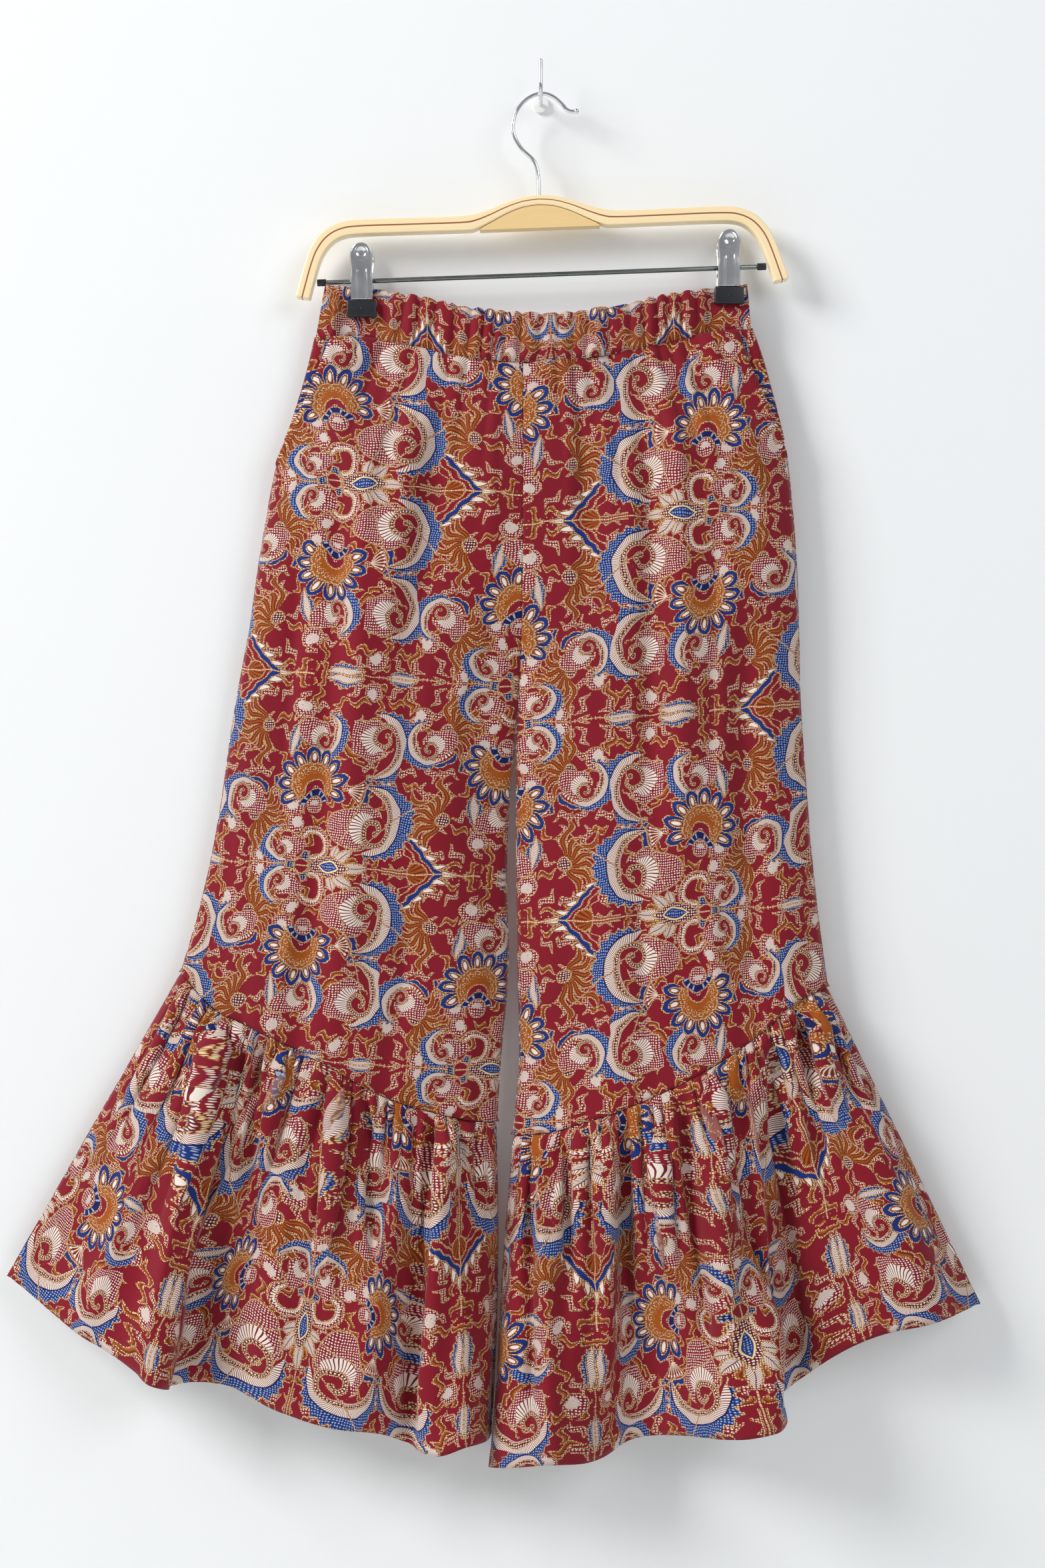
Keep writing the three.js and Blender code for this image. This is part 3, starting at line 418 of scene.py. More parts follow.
def flounceShell(side, face):
    g, name = seamGathers, f"{side}_{face}"
    towards, outward = legTables[side]["towards"], outwardOf(face)
    count, seed = g["count"][face], seedOf("flounce", side, face)
    fine = np.linspace(0, 1, 4001)
    phase = np.linspace(0, count, count * gridCounts["cellColumns"] + 1)
    share = np.interp(phase, unevenPhase(count - unevenPhase(0, 1.0, g["waves"]), fine, g["waves"]), fine)
    u, v = np.meshgrid(share, np.linspace(0, 1, gridCounts["flounceDown"] + 1) ** 1.25)
    hemAt, hemLength = hemPoints(name, face)
    top = legPoints(side, face, share[None, :], np.ones((1, len(share))))[0][0]
    top[:, 2] -= 2 * seamGap
    low = hemAt(share)
    stand = mix(top[None, :, 1], low[None, :, 1], v**1.15)
    wave = 0.5 - 0.5 * np.cos(fullTurn * unevenPhase(g["baseCount"][face], u))
    base = g["base"] * window(0, 0.1, 0.75, 0.65, v) * window(0, 0.04, 1, 0.04, u) * wave
    lean = inseamBulge[side] * np.sin(np.pi * v) * (1 - smooth(0, 0.15, u))
    x = mix(top[None, :, 0], low[None, :, 0], v) + lean
    z = mix(top[None, :, 2], low[None, :, 2], v)
    points = np.stack([x, stand + outward * base, z], axis=-1)
    out = outOfRows(points, -towards * outward, np.array([-towards, 0.0]), np.array([towards, 0.0]))
    lengths = rowLengths(points)
    dropLength = np.linalg.norm(points[-1] - points[0], axis=-1)[None, :]
    below, above = v * dropLength, (1 - v) * dropLength
    free = smooth(0, 14, fromEnds(lengths))
    detail = puffs(np.broadcast_to(phase, u.shape), below, count, g["height"], g["reach"], seed)
    uneven = 0.9 * ripple(u * count * 1.1, below / 60, seed + 1) + 0.4 * ripple(lengths / 9, below / 30, seed + 2)
    detail += smooth(0, 30, below) * uneven
    for seamX, hemX, start, end, outside, inside, rise in flounceFolds[name]:
        away = (x - mix(seamX, hemX, v)) * towards
        width = np.where(away > 0, outside, inside) * (0.7 + 0.5 * v)
        detail += g["fold"] * rise * window(start - 0.02, 0.12, end, 0.3, v) * bell(away, width)
    detail += hemFold["lift"] * smooth(hemFold["height"] + 1, hemFold["height"] - 1, above)
    detail -= hemFold["groove"][0] * bell(above - hemFold["height"], hemFold["groove"][1])
    room = np.abs(points[..., 1] - hangPlane) - 1.5
    wall = clothWall + np.maximum(detail * free, -np.maximum(room, 0.8)) - g["tuck"] * bell(below, 2.5)
    outer = points + out * wall[..., None]
    if face == "back":
        outer[..., 1] = np.minimum(outer[..., 1], wallClear)
    cell = hemLength / count
    hidden = clamp01(1 - lengths[:, -1:] / hemLength) * (1 - smooth(0.05, 0.42, v[:, :1]))

    # Near the seam each gather hides some cloth, so its columns' print is drawn in towards the gather's middle.
    def printPlace(seenFrom):
        index = np.clip(np.floor(seenFrom), 0, count - 1)
        along = cell * (index + 0.5) + cell * (phase - index - 0.5) * (1 - hidden)
        return np.stack([flouncePrint["from"] + above, -outward * along + flouncePrint[name]], axis=-1)

    return outer, printPlace(phase + 1e-9), printPlace(phase - 1e-6)


def bandShell(face):
    share = np.linspace(0, 1, gridCounts["bandColumns"] + 1)
    seed, count = seeds["band"][face], bandPuckers["count"]
    tall = np.random.default_rng(seed).uniform(0.55, 1.25, count + 3)
    cell, inCell = cellsOf(unevenPhase(count, share), count + 1)
    puff = tall[cell] * np.sin(np.pi * inCell) ** 0.7
    fineWave = 0.5 + 0.5 * ripple(share * 90, share * 0 + 3.5, seed)
    frill = 2.0 * puff + 0.9 * fineWave
    # Height up the band, how far inside the outer side, and how much the gathers stand there.
    profile = [(-0.05, 1.3, 0.35), (-0.02, 0.9, 0.5)]
    profile += [(v, 0.0, 0.8 + 0.3 * math.sin(math.pi * v)) for v in np.linspace(0.02, 0.97, 15)]
    profile += [(1.0, 0.35, 0.8), (1.022, 1.2, 0.5), (1.0, 2.05, 0.2)]
    profile += [(v, bandWall, 0.0) for v in np.linspace(0.95, 0.0, 6)]
    rows, uvs = [], []
    for v, inset, gathered in profile:
        left, right = (mix(bandEnds[f"{end}Seam"], bandEnds[f"{end}Top"], v) for end in ("left", "right"))
        x = mix(left, right, share)
        topDrop = waistTopDrop(x) - (frill - 1.3) * smooth(0.55, 1.0, v)
        drop = mix(waistSeamDrop(x) - seamGap + 0.6, topDrop, v)
        toClip = np.minimum(*(np.abs(x - place[1]) for place in clipPlaces))
        free = smooth(clipGrip - 2, clipGrip + 9, toClip) * window(0, 0.03, 1, 0.03, share) * gathered
        wave = (3.4 * puff + 0.7 * fineWave + 0.35 * ripple(share * 45, v * 3 + share * 0, seed + 4)) * free
        stand = np.maximum(layerGap + bandStand(face, x) + bandWall + wave - inset, layerGap + 0.1)
        rows.append(np.stack([x, hangPlane + outwardOf(face) * stand, -drop], axis=-1))
        folded, foot = bandPuckers["fold"], bandPuckers["foot"]
        s = foot + folded - folded * v if inset < bandWall else foot + folded * (1 - v)
        uvs.append(np.stack([np.full(x.shape, s), (x + 86.5) * bandPuckers["fullness"]], axis=-1))
    points = np.array(rows)
    points[..., 0] += 1.2 * (smooth(0.985, 1.0, share) - smooth(0.015, 0.0, share))
    return points, np.array(uvs)


facingSizes = {"foot": 262.0, "under": 16, "rows": 41, "columns": 19}


def facingShell(side):
    leg, towards = legCurves[side], legTables[side]["towards"]
    u, v = np.meshgrid(np.linspace(0, 1, facingSizes["columns"]), np.linspace(0, 1, facingSizes["rows"]))
    top = waistSeamDrop(leg["outer"](184.0)) + seamGap + 0.6
    drop = mix(top, facingSizes["foot"], v)
    edge = leg["outer"](drop)
    reach = leg["pocketLine"](drop) - towards * facingSizes["under"]
    x = mix(reach, edge, u)
    drop = np.maximum(drop, waistSeamDrop(x) + seamGap + 0.4)
    stand = layerGap + 0.05 * np.abs(x - edge)
    points = np.stack([x, hangPlane - stand, -drop], axis=-1)
    out = outOfRows(points, towards, np.array([0.0, -1.0]), np.array([towards, 0.0]))
    free = smooth(0, 6, np.abs(x - edge)) * smooth(0, 6, np.abs(x - reach))
    outer = points + out * (clothWall + 0.25 * free * ripple(u * 4, v * 5, 71))[..., None]
    s = 150 + rowLengths(points)
    return outer, np.stack([s, drop - 300 + printDown["slope"] * s], axis=-1)


def finished(work, name):
    mesh = bpy.data.meshes.new(name)
    work.to_mesh(mesh)
    work.free()
    obj = bpy.data.objects.new(name, mesh)
    bpy.context.collection.objects.link(obj)
    return obj


# A flat grid and the column and row of each of its vertices.
def newGrid(columns, rows, layerName):
    work = bmesh.new()
    bmesh.ops.create_grid(work, x_segments=columns, y_segments=rows, size=1.0)
    cells = {v: (round((v.co.x + 1) / 2 * columns), round((v.co.y + 1) / 2 * rows)) for v in work.verts}
    for face in work.faces:
        face.smooth = True
    return work, work.loops.layers.uv.new(layerName), cells


# A sheet laid through a grid of points in millimetres, with the print's place in metres as its UV. uvEnd gives a
# column's place as seen from the cell before it, where gathers hide some of the cloth.
def gridMesh(name, points, uvStart, uvEnd=None):
    work, layer, cells = newGrid(points.shape[1] - 1, points.shape[0] - 1, "cloth")
    uvEnd = uvStart if uvEnd is None else uvEnd
    places, starts, ends = ((values * mm).tolist() for values in (points, uvStart, uvEnd))
    for face in work.faces:
        first = min(cells[vertex][0] for vertex in face.verts)
        for loop in face.loops:
            column, row = cells[loop.vert]
            loop[layer].uv = (ends if column > first else starts)[row][column]
    for vertex, (column, row) in cells.items():
        vertex.co = places[row][column]
    return finished(work, name)


def turnOut(obj, face):
    total = sum(p.normal.y * p.area for p in obj.data.polygons)
    if total * outwardOf(face) < 0:
        obj.data.flip_normals()
    obj.data.update()


# Gives a sheet its wall, grown inwards. A cloth's inside takes the second material.
def thicken(obj, wall, inside=0):
    shell = obj.modifiers.new("thickness", "SOLIDIFY")
    shell.thickness = wall * mm
    shell.offset = -1
    shell.material_offset = inside


def clothPiece(node, face, shell, walled=True):
    obj = gridMesh(f"{node}_cloth", *shell)
    turnOut(obj, face)
    print(node, "area", round(sum(p.area for p in obj.data.polygons), 4))
    if walled:
        thicken(obj, shellWall, inside=1)
    for material in cottonPair:
        obj.data.materials.append(material)
    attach(obj, "root")
    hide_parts(node)


def feed(tree, socket, value):
    value = value.source if isinstance(value, Val) else value
    if hasattr(value, "is_output"):
        tree.links.new(value, socket)
    else:
        socket.default_value = value


def addNode(tree, kind, inputs, **settings):
    node = tree.nodes.new("ShaderNode" + kind)
    for name, value in settings.items():
        setattr(node, name, value)
    for key, value in inputs.items():
        feed(tree, node.inputs[key], value)
    return node


def mathOp(kind):
    return lambda self, *others: self.op(kind, *others)


# Shader arithmetic: a Val is a socket or a plain number, and its operators add Math nodes to the tree.
class Val:
    def __init__(self, tree, source):
        self.tree = tree
        self.source = source

    def op(self, kind, *others, clamp=False):
        inputs = dict(enumerate((self, *others)))
        return Val(self.tree, addNode(self.tree, "Math", inputs, operation=kind, use_clamp=clamp).outputs[0])

    def over(self, scale, offset=0.0):
        return self.op("MULTIPLY_ADD", scale, offset)

    def clamp(self):
        return self.op("MULTIPLY", 1.0, clamp=True)

    def __neg__(self):
        return self * -1.0

    __add__, __sub__, __mul__, __truediv__ = [mathOp(kind) for kind in ("ADD", "SUBTRACT", "MULTIPLY", "DIVIDE")]
    abs, fract, floor = mathOp("ABSOLUTE"), mathOp("FRACT"), mathOp("FLOOR")
    sin, cos, angleOver = mathOp("SINE"), mathOp("COSINE"), mathOp("ARCTAN2")
    min, max, above, below = mathOp("MINIMUM"), mathOp("MAXIMUM"), mathOp("GREATER_THAN"), mathOp("LESS_THAN")


def split(tree, source, kind="XYZ"):
    return [Val(tree, socket) for socket in addNode(tree, "Separate" + kind, {0: source}).outputs]


def flatPlace(tree, x, y):
    return Val(tree, addNode(tree, "CombineXYZ", {0: x, 1: y}).outputs[0])


def apart(place, x, y):
    node = addNode(place.tree, "VectorMath", {0: place, 1: (x, y, 0.0)}, operation="DISTANCE")
    return Val(place.tree, node.outputs["Value"])


# 1 where a signed distance in millimetres is below 0, with a soft edge.
def within(distance):
    return distance.op("MULTIPLY_ADD", -2.6, 0.5, clamp=True)


def ring(distance, half):
    return within(distance.abs() - half)


def hypot(x, y):
    return (x * x + y * y).op("SQRT")


# Fine rays: 1 on a ray, 0 between two.
def rays(angle, perRadian, dark):
    return (angle * perRadian).fract().above(dark)


def either(a, b):
    return a.max(b)


def both(a, b):
    return a * b


def srgb(r, g, b):
    def linear(c):
        c /= 255
        return c / 12.92 if c <= 0.04045 else ((c + 0.055) / 1.055) ** 2.4

    return (linear(r), linear(g), linear(b), 1.0)


ink = {
    "ground": srgb(138, 12, 36), "deep": srgb(100, 10, 26), "ochre": srgb(172, 88, 30), "rust": srgb(124, 42, 18),
    "tan": srgb(126, 40, 22), "rope": srgb(252, 226, 178), "cream": srgb(252, 240, 230), "pink": srgb(122, 34, 46),
    "blue": srgb(16, 48, 126), "navy": srgb(20, 22, 88), "sky": srgb(172, 188, 214), "faded": srgb(186, 150, 142),
}


# One colour laid over another where the mask is 1. A word is the name of an ink.
def paint(under, over, mask):
    tree = (mask if isinstance(mask, Val) else under).tree
    under, over = (ink[colour] if isinstance(colour, str) else colour for colour in (under, over))
    return Val(tree, addNode(tree, "Mix", {0: mask, 6: under, 7: over}, data_type="RGBA").outputs[2])


def newGroup(name, takes, gives):
    tree = bpy.data.node_groups.new(name, "ShaderNodeTree")
    for way, sockets in (("INPUT", takes), ("OUTPUT", gives)):
        for label, kind in sockets.items():
            tree.interface.new_socket(label, in_out=way, socket_type="NodeSocket" + kind)
    given, result = tree.nodes.new("NodeGroupInput"), tree.nodes.new("NodeGroupOutput")
    return tree, [Val(tree, given.outputs[label]) for label in takes], result.inputs


# Each motif group takes a place in the motif's own millimetres, the rope's colour and a fine speckle, and gives
# a colour and a mask.
def motifGroup(name, draw):
    takes = {"Place": "Vector", "Rope": "Color", "Speck": "Float"}
    tree, (place, rope, speck), result = newGroup(name, takes, {"Colour": "Color", "Mask": "Float"})
    x, y, _ = split(tree, place)
    for socket, value in zip(result, draw(place, x, y, rope, speck)):
        feed(tree, socket, value)
    return tree


# A curl: a dotted band wound in a spiral between two rope lines and running out in a tail, a hatched moon and a
# toothed blue one along its back, and a rayed flare with a dotted scalloped margin on its open side. The discs are
# X, Y and radius.
curlSizes = {
    "pitch": 8.8, "start": 0.36, "leaves": 0.52, "band": 0.95, "rope": 0.65, "dot": 2.3, "scallop": 4.5, "tooth": 3.6,
    "discs": {
        "blue": (-3.0, 8.0, 28.6), "hatch": (4.0, 7.0, 27.6), "back": (10.2, 6.5, 27.1), "belly": (15.2, 6.0, 27.0),
        "flare": (9.5, 1.5, 12.4), "margin": (11.0, 1.5, 17.2),
    },
}


def drawCurl(place, x, y, rope, speck):
    c = curlSizes
    discs = {name: apart(place, cx, cy) - radius for name, (cx, cy, radius) in c["discs"].items()}
    r = apart(place, 0.0, 0.0)
    w = (-y).angleOver(x).over(1 / fullTurn).fract()
    last = w.below(c["leaves"])
    n = (r.over(1 / c["pitch"]) - w).op("ROUND").max(0.0).min(last)
    turn = n + w
    off = (r - turn * c["pitch"]).abs()
    onBand = turn.above(c["start"])
    head, out = -fullTurn * c["start"], c["pitch"] * c["start"]
    headDisc = apart(place, out * math.cos(head), out * math.sin(head)) - c["band"] - 0.4
    toBand = (off - c["band"] + onBand.over(-60.0, 60.0)).min(headDisc)
    tail = (discs["back"].max(-discs["belly"]) + 2 * c["rope"]).max(-y)
    toBand = toBand.min(tail)
    dotRow = (turn * turn).over(c["pitch"] * math.pi / c["dot"]).fract() - 0.5
    dots = both(within(hypot(dotRow * c["dot"], off) - 0.6), both(onBand, within(toBand)))
    outer = r - (last + w) * c["pitch"] - (c["band"] + c["rope"])
    tip = (x / r).max(0.0).op("POWER", 14.0)
    scallop = (w * (fullTurn * c["scallop"])).sin().abs()
    margin = discs["margin"] - tip * 12.0 - scallop * 1.3
    teethAngle = (y - c["discs"]["blue"][1]).angleOver(x - c["discs"]["blue"][0])
    blueEdge = discs["blue"] - ((teethAngle * c["tooth"]).fract() - 0.5).abs() * 6.5
    flare = paint("pink", "cream", rays(w, 44.0, 0.32))
    fan = paint(paint("ground", "cream", speck), flare, within(discs["flare"] + scallop))
    fan = paint(fan, rope, ring(margin, 0.75))
    hatch = paint("pink", "cream", rays(teethAngle, 15.0, 0.36))
    moon = paint(paint("blue", "sky", speck), hatch, within(discs["hatch"]))
    moon = paint(moon, "navy", ring(discs["hatch"], 0.5))
    moon = paint(moon, rope, ring(blueEdge, 0.7))
    moonArea = within(blueEdge.max(-discs["belly"]) - 0.7)
    inDisc = within(outer.min(apart(place, -1.0, 1.0) - 9.5))
    colour = paint(paint(fan, moon, moonArea), "ground", inDisc)
    colour = paint(colour, rope, ring(toBand - c["rope"], c["rope"]))
    colour = paint(colour, "deep", within(toBand))
    colour = paint(colour, "cream", either(dots, both(speck, within(tail))))
    return colour, either(either(moonArea, inDisc), either(within(margin - 0.7), within(toBand - 2 * c["rope"])))


# A half flower: an ochre crescent with small scrolls, blue petals with a cream drop in each, and a navy fan with a
# dotted shell on the open side.
flowerSizes = {
    "petals": 9, "spread": 2.2, "disc": 18.0, "reach": 33.5, "open": (-5.0, 9.6), "scrollsAt": 13.4, "scroll": 2.7,
    "crownAt": 17.0, "lobes": 2.2,
}


def drawFlower(place, x, y, rope, speck):
    f = flowerSizes
    r = apart(place, 0.0, 0.0)
    a = y.angleOver(x)
    spread = a.abs().below(f["spread"])
    pitch = 2 * f["spread"] / f["petals"]
    p = (a.over(1 / pitch, 0.5).fract() - 0.5) * 2.0
    p2 = p * p
    petalEdge = r + p.abs() * 4.0 + p2 * p2 * 6.0 - f["reach"]
    across = p * r * (pitch / 2)
    side = p.abs().over(-1.0, 1.0) * r * (pitch / 2)
    up = r - f["reach"] * 0.74
    drop = hypot(up * 0.48, across) + up * 0.25 - 1.15
    colour = paint("blue", "navy", side.over(-0.5, 1.3).clamp())
    colour = paint(colour, "rust", within(drop - 1.7))
    colour = paint(colour, rope, ring(drop - 1.2, 0.5))
    colour = paint(colour, "cream", within(drop))
    colour = paint(colour, rope, ring(side, 0.5))
    colour = paint(colour, rope, ring(petalEdge + 0.3, 0.75))
    petals = both(within(petalEdge - 0.4), spread)
    disc = r - (a * 4.6).sin().abs() * 1.3 - (f["disc"] - 1.0)
    opening = apart(place, f["open"][0], 0.0) - f["open"][1]
    lx, ly = (a.over(2.3, 0.5).fract() - 0.5) * 5.6, r - f["scrollsAt"]
    lr = hypot(lx, ly)
    winding = (lr.over(1 / f["scroll"]) - ly.angleOver(lx) * (1 / fullTurn)).fract() - 0.5
    scroll = both(within(winding.abs().over(f["scroll"], -0.62)), lr.below(3.1))
    heart = paint(paint("ochre", rope, scroll), rope, ring(disc, 0.75))
    heart = paint(heart, "ground", within(opening))
    heart = paint(heart, rope, ring(opening + 0.2, 0.7))
    inHeart = both(within(disc - 0.7), spread)
    colour = paint(colour, heart, inHeart)
    bx = x + f["crownAt"]
    br = hypot(bx, y)
    ba = y.angleOver(bx)
    crown = br - (ba * f["lobes"]).cos().abs().over(1.6, 12.2)
    navy = paint("navy", "sky", both(rays(ba.abs(), 2.1, 0.72), within((br - 10.4).abs() - 1.8)))
    shellPart = paint(paint("ground", "cream", speck), paint("pink", "cream", rays(ba, 5.0, 0.35)), within(br - 4.2))
    navy = paint(navy, shellPart, within(br - 7.0))
    navy = paint(navy, rope, either(ring(br - 7.4, 0.6), ring(crown, 0.6)))
    inCrown = both(within(crown - 0.5), ba.abs().below(1.45))
    backShell = paint(paint("ground", "cream", speck), rope, ring(br - 7.0, 0.7))
    colour = paint(paint(colour, backShell, within(br - 7.5)), navy, inCrown)
    return colour, either(either(petals, inHeart), either(inCrown, within(br - 7.6)))


# A lotus on the mirror axis: a pointed eye, veined petals to one side, and to the other two hatched arms that
# turn outward and a blue fish tail. A petal is its angle, its length and where it starts.
lotusSizes = {
    "petals": ((1.95, 17.0, 2.0), (2.5, 20.0, 5.0), (3.14159, 22.0, 10.0)), "wide": 4.4, "arm": (17.0, 11.5, 2.6),
    "bone": (26.0, 6.0), "frame": (8.6, 20.0), "eye": (4.4, 11.0),
}


def drawLotus(place, x, y, rope, speck):
    q = lotusSizes
    h = y.abs()
    half = flatPlace(place.tree, x, h)
    armAt, armRadius, armWide = q["arm"]
    armRing = apart(half, armAt, armAt)
    arm = ((armRing - armRadius).abs() - armWide).max((x - 19.0).min(-(h - 22.0))).max(x - 27.0)
    armRays = rays((h - armAt).angleOver(x - armAt), 7.0, 0.4)
    colour = paint(paint("ground", "cream", speck), "cream", both(armRays, (armRing - armRadius).below(0.0)))
    colour = paint(colour, rope, ring(arm, 0.8))
    mask = within(arm - 0.6)
    for angle, length, start in q["petals"]:
        ca, sa = math.cos(angle), math.sin(angle)
        along = (x * ca + h * sa) - start
        across = (h * ca - x * sa).abs()
        width = (along.over(1 / length).clamp() * math.pi).sin().op("POWER", 0.6) * q["wide"]
        edge = across - width
        vein = (along.over(0.75) - across * 0.7).fract().above(0.36)
        leaf = paint(paint("pink", "cream", vein), "deep", within(across - 0.3))
        leaf = paint(leaf, rope, ring(edge + 0.1, 0.75))
        inside = within(edge - 0.6)
        colour = paint(colour, leaf, inside)
        mask = either(mask, inside)
    bone = apart(half, q["bone"][0], 0.0) - q["bone"][1]
    fish = (-apart(half, 36.0, 15.5) + 12.0).max(-(x - 20.0)).max(h - 15.0).max(x - 38.0).max(-bone)
    fish = fish.max(-(apart(half, 20.0, 20.0) - 9.0))
    inTail, boneRing = within(fish - 0.5), ring(bone, 0.7)
    colour = paint(colour, paint(paint("navy", "sky", speck), rope, ring(fish, 0.7)), inTail)
    colour = paint(colour, rope, boneRing)
    mask = either(either(mask, inTail), boneRing)
    (frameHigh, frameLong), (eyeHigh, eyeLong) = q["frame"], q["eye"]
    eyeFrame = h - ((x - 1.0) * (x - 1.0)).over(-frameHigh / frameLong**2, frameHigh)
    eye = h - (x * x).over(-eyeHigh / eyeLong**2, eyeHigh)
    middle = paint(paint("deep", "cream", speck), rope, ring(eyeFrame + 0.4, 0.8))
    middle = paint(middle, paint("blue", "sky", both(speck, within(eye + 1.6))), within(eye))
    middle = paint(middle, "rope", ring(eye, 0.6))
    inFrame = within(eyeFrame - 0.3)
    return paint(colour, middle, inFrame), either(mask, inFrame)


# A chevron leaf on the mirror axis: its point at 0, cream petals before it, rope contours and a ribbed heart in it.
leafSizes = {
    "slope": 1.08, "reach": 30.0, "petal": (6.6, 13.5), "contours": (8.6, 12.6), "heart": (22.0, 8.0),
    "stem": (30.0, 52.0),
}


def drawLeaf(place, x, y, rope, speck):
    f = leafSizes
    h = y.abs()
    ahead = x - h * f["slope"]
    depth = (ahead + (h * 0.85).sin() * 0.7) * 0.68
    ends = within(h - f["reach"])
    step, long = f["petal"]
    near = ((h.over(1 / step, 0.5).fract()) - 0.5).abs() * step
    reach = h.over(-long / 52.0, long)
    share = (-ahead / reach).clamp()
    petalEdge = near - (share * share).over(-3.3, 3.3)
    petals = paint("rust", "cream", within(petalEdge + 1.5))
    petals = paint(petals, rope, ring(petalEdge + 0.3, 0.6))
    inPetals = both(both(within(petalEdge), (ahead + reach).above(0.0)), both(ends, depth.below(0.0)))
    wave = (h * 0.8).sin() * 0.9
    lineOne, lineTwo = f["contours"]
    body = paint("ground", rope, either(ring(depth - lineOne - wave, 0.65), ring(depth - lineTwo + wave, 0.6)))
    heart = apart(place, f["heart"][0], 0.0) - f["heart"][1]
    ribs = ((x - 30.0).angleOver(h) * 3.4).fract().above(0.5)
    inner = paint(paint("rust", "ochre", ribs), rope, either(ring(heart, 0.7), ring(h, 0.5)))
    body = paint(body, inner, within(heart - 0.6))
    body = paint(body, "blue", within(depth - 4.2 - wave))
    body = paint(body, rope, either(ring(depth - 4.4 - wave, 0.6), ring(depth, 0.65)))
    inBody = both(both(within(-depth - 0.5), ends), (x - h * 0.35).below(32.0))
    stem = paint("ground", rope, within((h - 2.2).abs() - 0.7))
    inStem = both(within(h - 2.8), both(x.above(f["stem"][0]), x.below(f["stem"][1])))
    return paint(paint(petals, body, inBody), stem, inStem), either(either(inPetals, inBody), inStem)


# A small fan: a bulb, rays with a drop at each end, and a scalloped blue rim.
fanSizes = {"spread": 0.82, "rays": 4.2, "bulb": 12.0, "drops": 12.4, "blue": 15.8, "rim": 19.0, "scallops": 4.4}


def drawFan(place, x, y, rope, speck):
    f = fanSizes
    r = apart(place, 0.0, 0.0)
    a = y.angleOver(x)
    rim = r - ((a * f["scallops"]).sin().abs() * 1.6 + f["rim"])
    ray = ((a * f["rays"]).fract() - 0.5).abs() * r * (1 / f["rays"])
    drops = hypot(ray, (r - f["drops"]) * 0.6) - 0.8
    colour = paint("ground", paint("rust", "ochre", within(ray - 0.5)), within(r - f["bulb"]))
    colour = paint(colour, "cream", either(within(drops), within((ray - 0.3).max(r - 11.0))))
    colour = paint(colour, "blue", within(-(r - f["blue"])))
    colour = paint(colour, rope, either(ring(r - 15.6, 0.6), ring(rim, 0.7)))
    colour = paint(colour, rope, ring((a.abs() - 0.8) * r, 0.8))
    return colour, both(within(rim - 0.6), a.abs().below(f["spread"]))


# A shell: cream rays in a dotted scalloped margin.
shellSizes = {"hinge": 3.0, "hatch": 7.6, "rim": (1.4, 12.4), "scallops": 3.6, "rays": 6.0}


def drawShell(place, x, y, rope, speck):
    f = shellSizes
    r = apart(place, -f["hinge"], 0.0)
    a = y.angleOver(x + f["hinge"])
    rim = r - ((a * f["scallops"]).cos().abs().over(*f["rim"])) * a.cos().over(0.5, 0.5)
    hatch = r - f["hatch"] + (a * a) * 1.5
    colour = paint(paint("ground", "cream", speck), paint("pink", "cream", rays(a, f["rays"], 0.3)), within(hatch))
    return paint(colour, rope, ring(rim, 0.75)), within(rim - 0.6)


# Ochre flames that sweep out of a dotted bulb.
flameSizes = {"root": 12.0, "arms": 2.4, "reach": (6.0, 30.0), "wide": (2.2, 0.6), "bulb": 4.6, "spread": 1.46}


def drawFlames(place, x, y, rope, speck):
    f = flameSizes
    r = apart(place, -f["root"], 0.0)
    a = y.angleOver(x + f["root"]) + (r * 0.3).sin() * 0.14
    cell = a.over(f["arms"], 0.5)
    arm = (cell.fract() - 0.5).abs() * (1 / f["arms"]) * r
    reach = (cell.floor() * 2.3).sin().over(*f["reach"])
    edge = arm - (r / reach * math.pi).clamp().sin().over(*f["wide"]) + (r - reach + 6.0).max(0.0) * 0.4
    colour = paint(paint("ochre", "rust", ring(arm - 1.0, 0.5)), rope, ring(edge, 0.7))
    bulb = r - f["bulb"]
    colour = paint(colour, paint("deep", "cream", speck), within(bulb))
    colour = paint(colour, rope, ring(bulb, 0.7))
    inArms = both(within((edge - 0.5).max(r - reach)), a.abs().below(f["spread"]))
    return colour, either(inArms, within(bulb - 0.5))


# A waving ochre ribbon.
ribbonSizes = {"wave": (0.36, 2.4), "wide": 2.6, "half": 12.0}


def drawRibbon(place, x, y, rope, speck):
    often, height = ribbonSizes["wave"]
    sway = y - (x * often).sin() * height
    edge = sway.abs() - (x * x).over(-ribbonSizes["wide"] / ribbonSizes["half"] ** 2, ribbonSizes["wide"])
    return paint(paint("ochre", "rust", within(sway)), rope, ring(edge, 0.7)), within(edge - 0.6)


# A dotted leaf with a blue or red body.
featherSizes = {"long": 34.0, "wide": 7.0, "tooth": (0.21, 3.2), "inner": 0.45, "hatch": 0.7}


def drawFeather(place, x, y, rope, speck):
    f = featherSizes
    h = y.abs()
    width = (x.over(1 / f["long"], 0.5).clamp() * math.pi).sin().op("POWER", 0.7) * f["wide"]
    edge = h - width + ((x.over(f["tooth"][0]) - h * 0.1).fract() - 0.5).abs() * f["tooth"][1]
    inner = h - width * f["inner"] + 0.6
    hatch = paint("pink", "cream", (x.over(f["hatch"]) + h * 0.5).fract().above(0.34))
    colour = paint(paint("blue", "sky", speck), hatch, within(inner))
    return paint(colour, rope, either(ring(edge, 0.75), ring(inner, 0.5))), within(edge - 0.6)


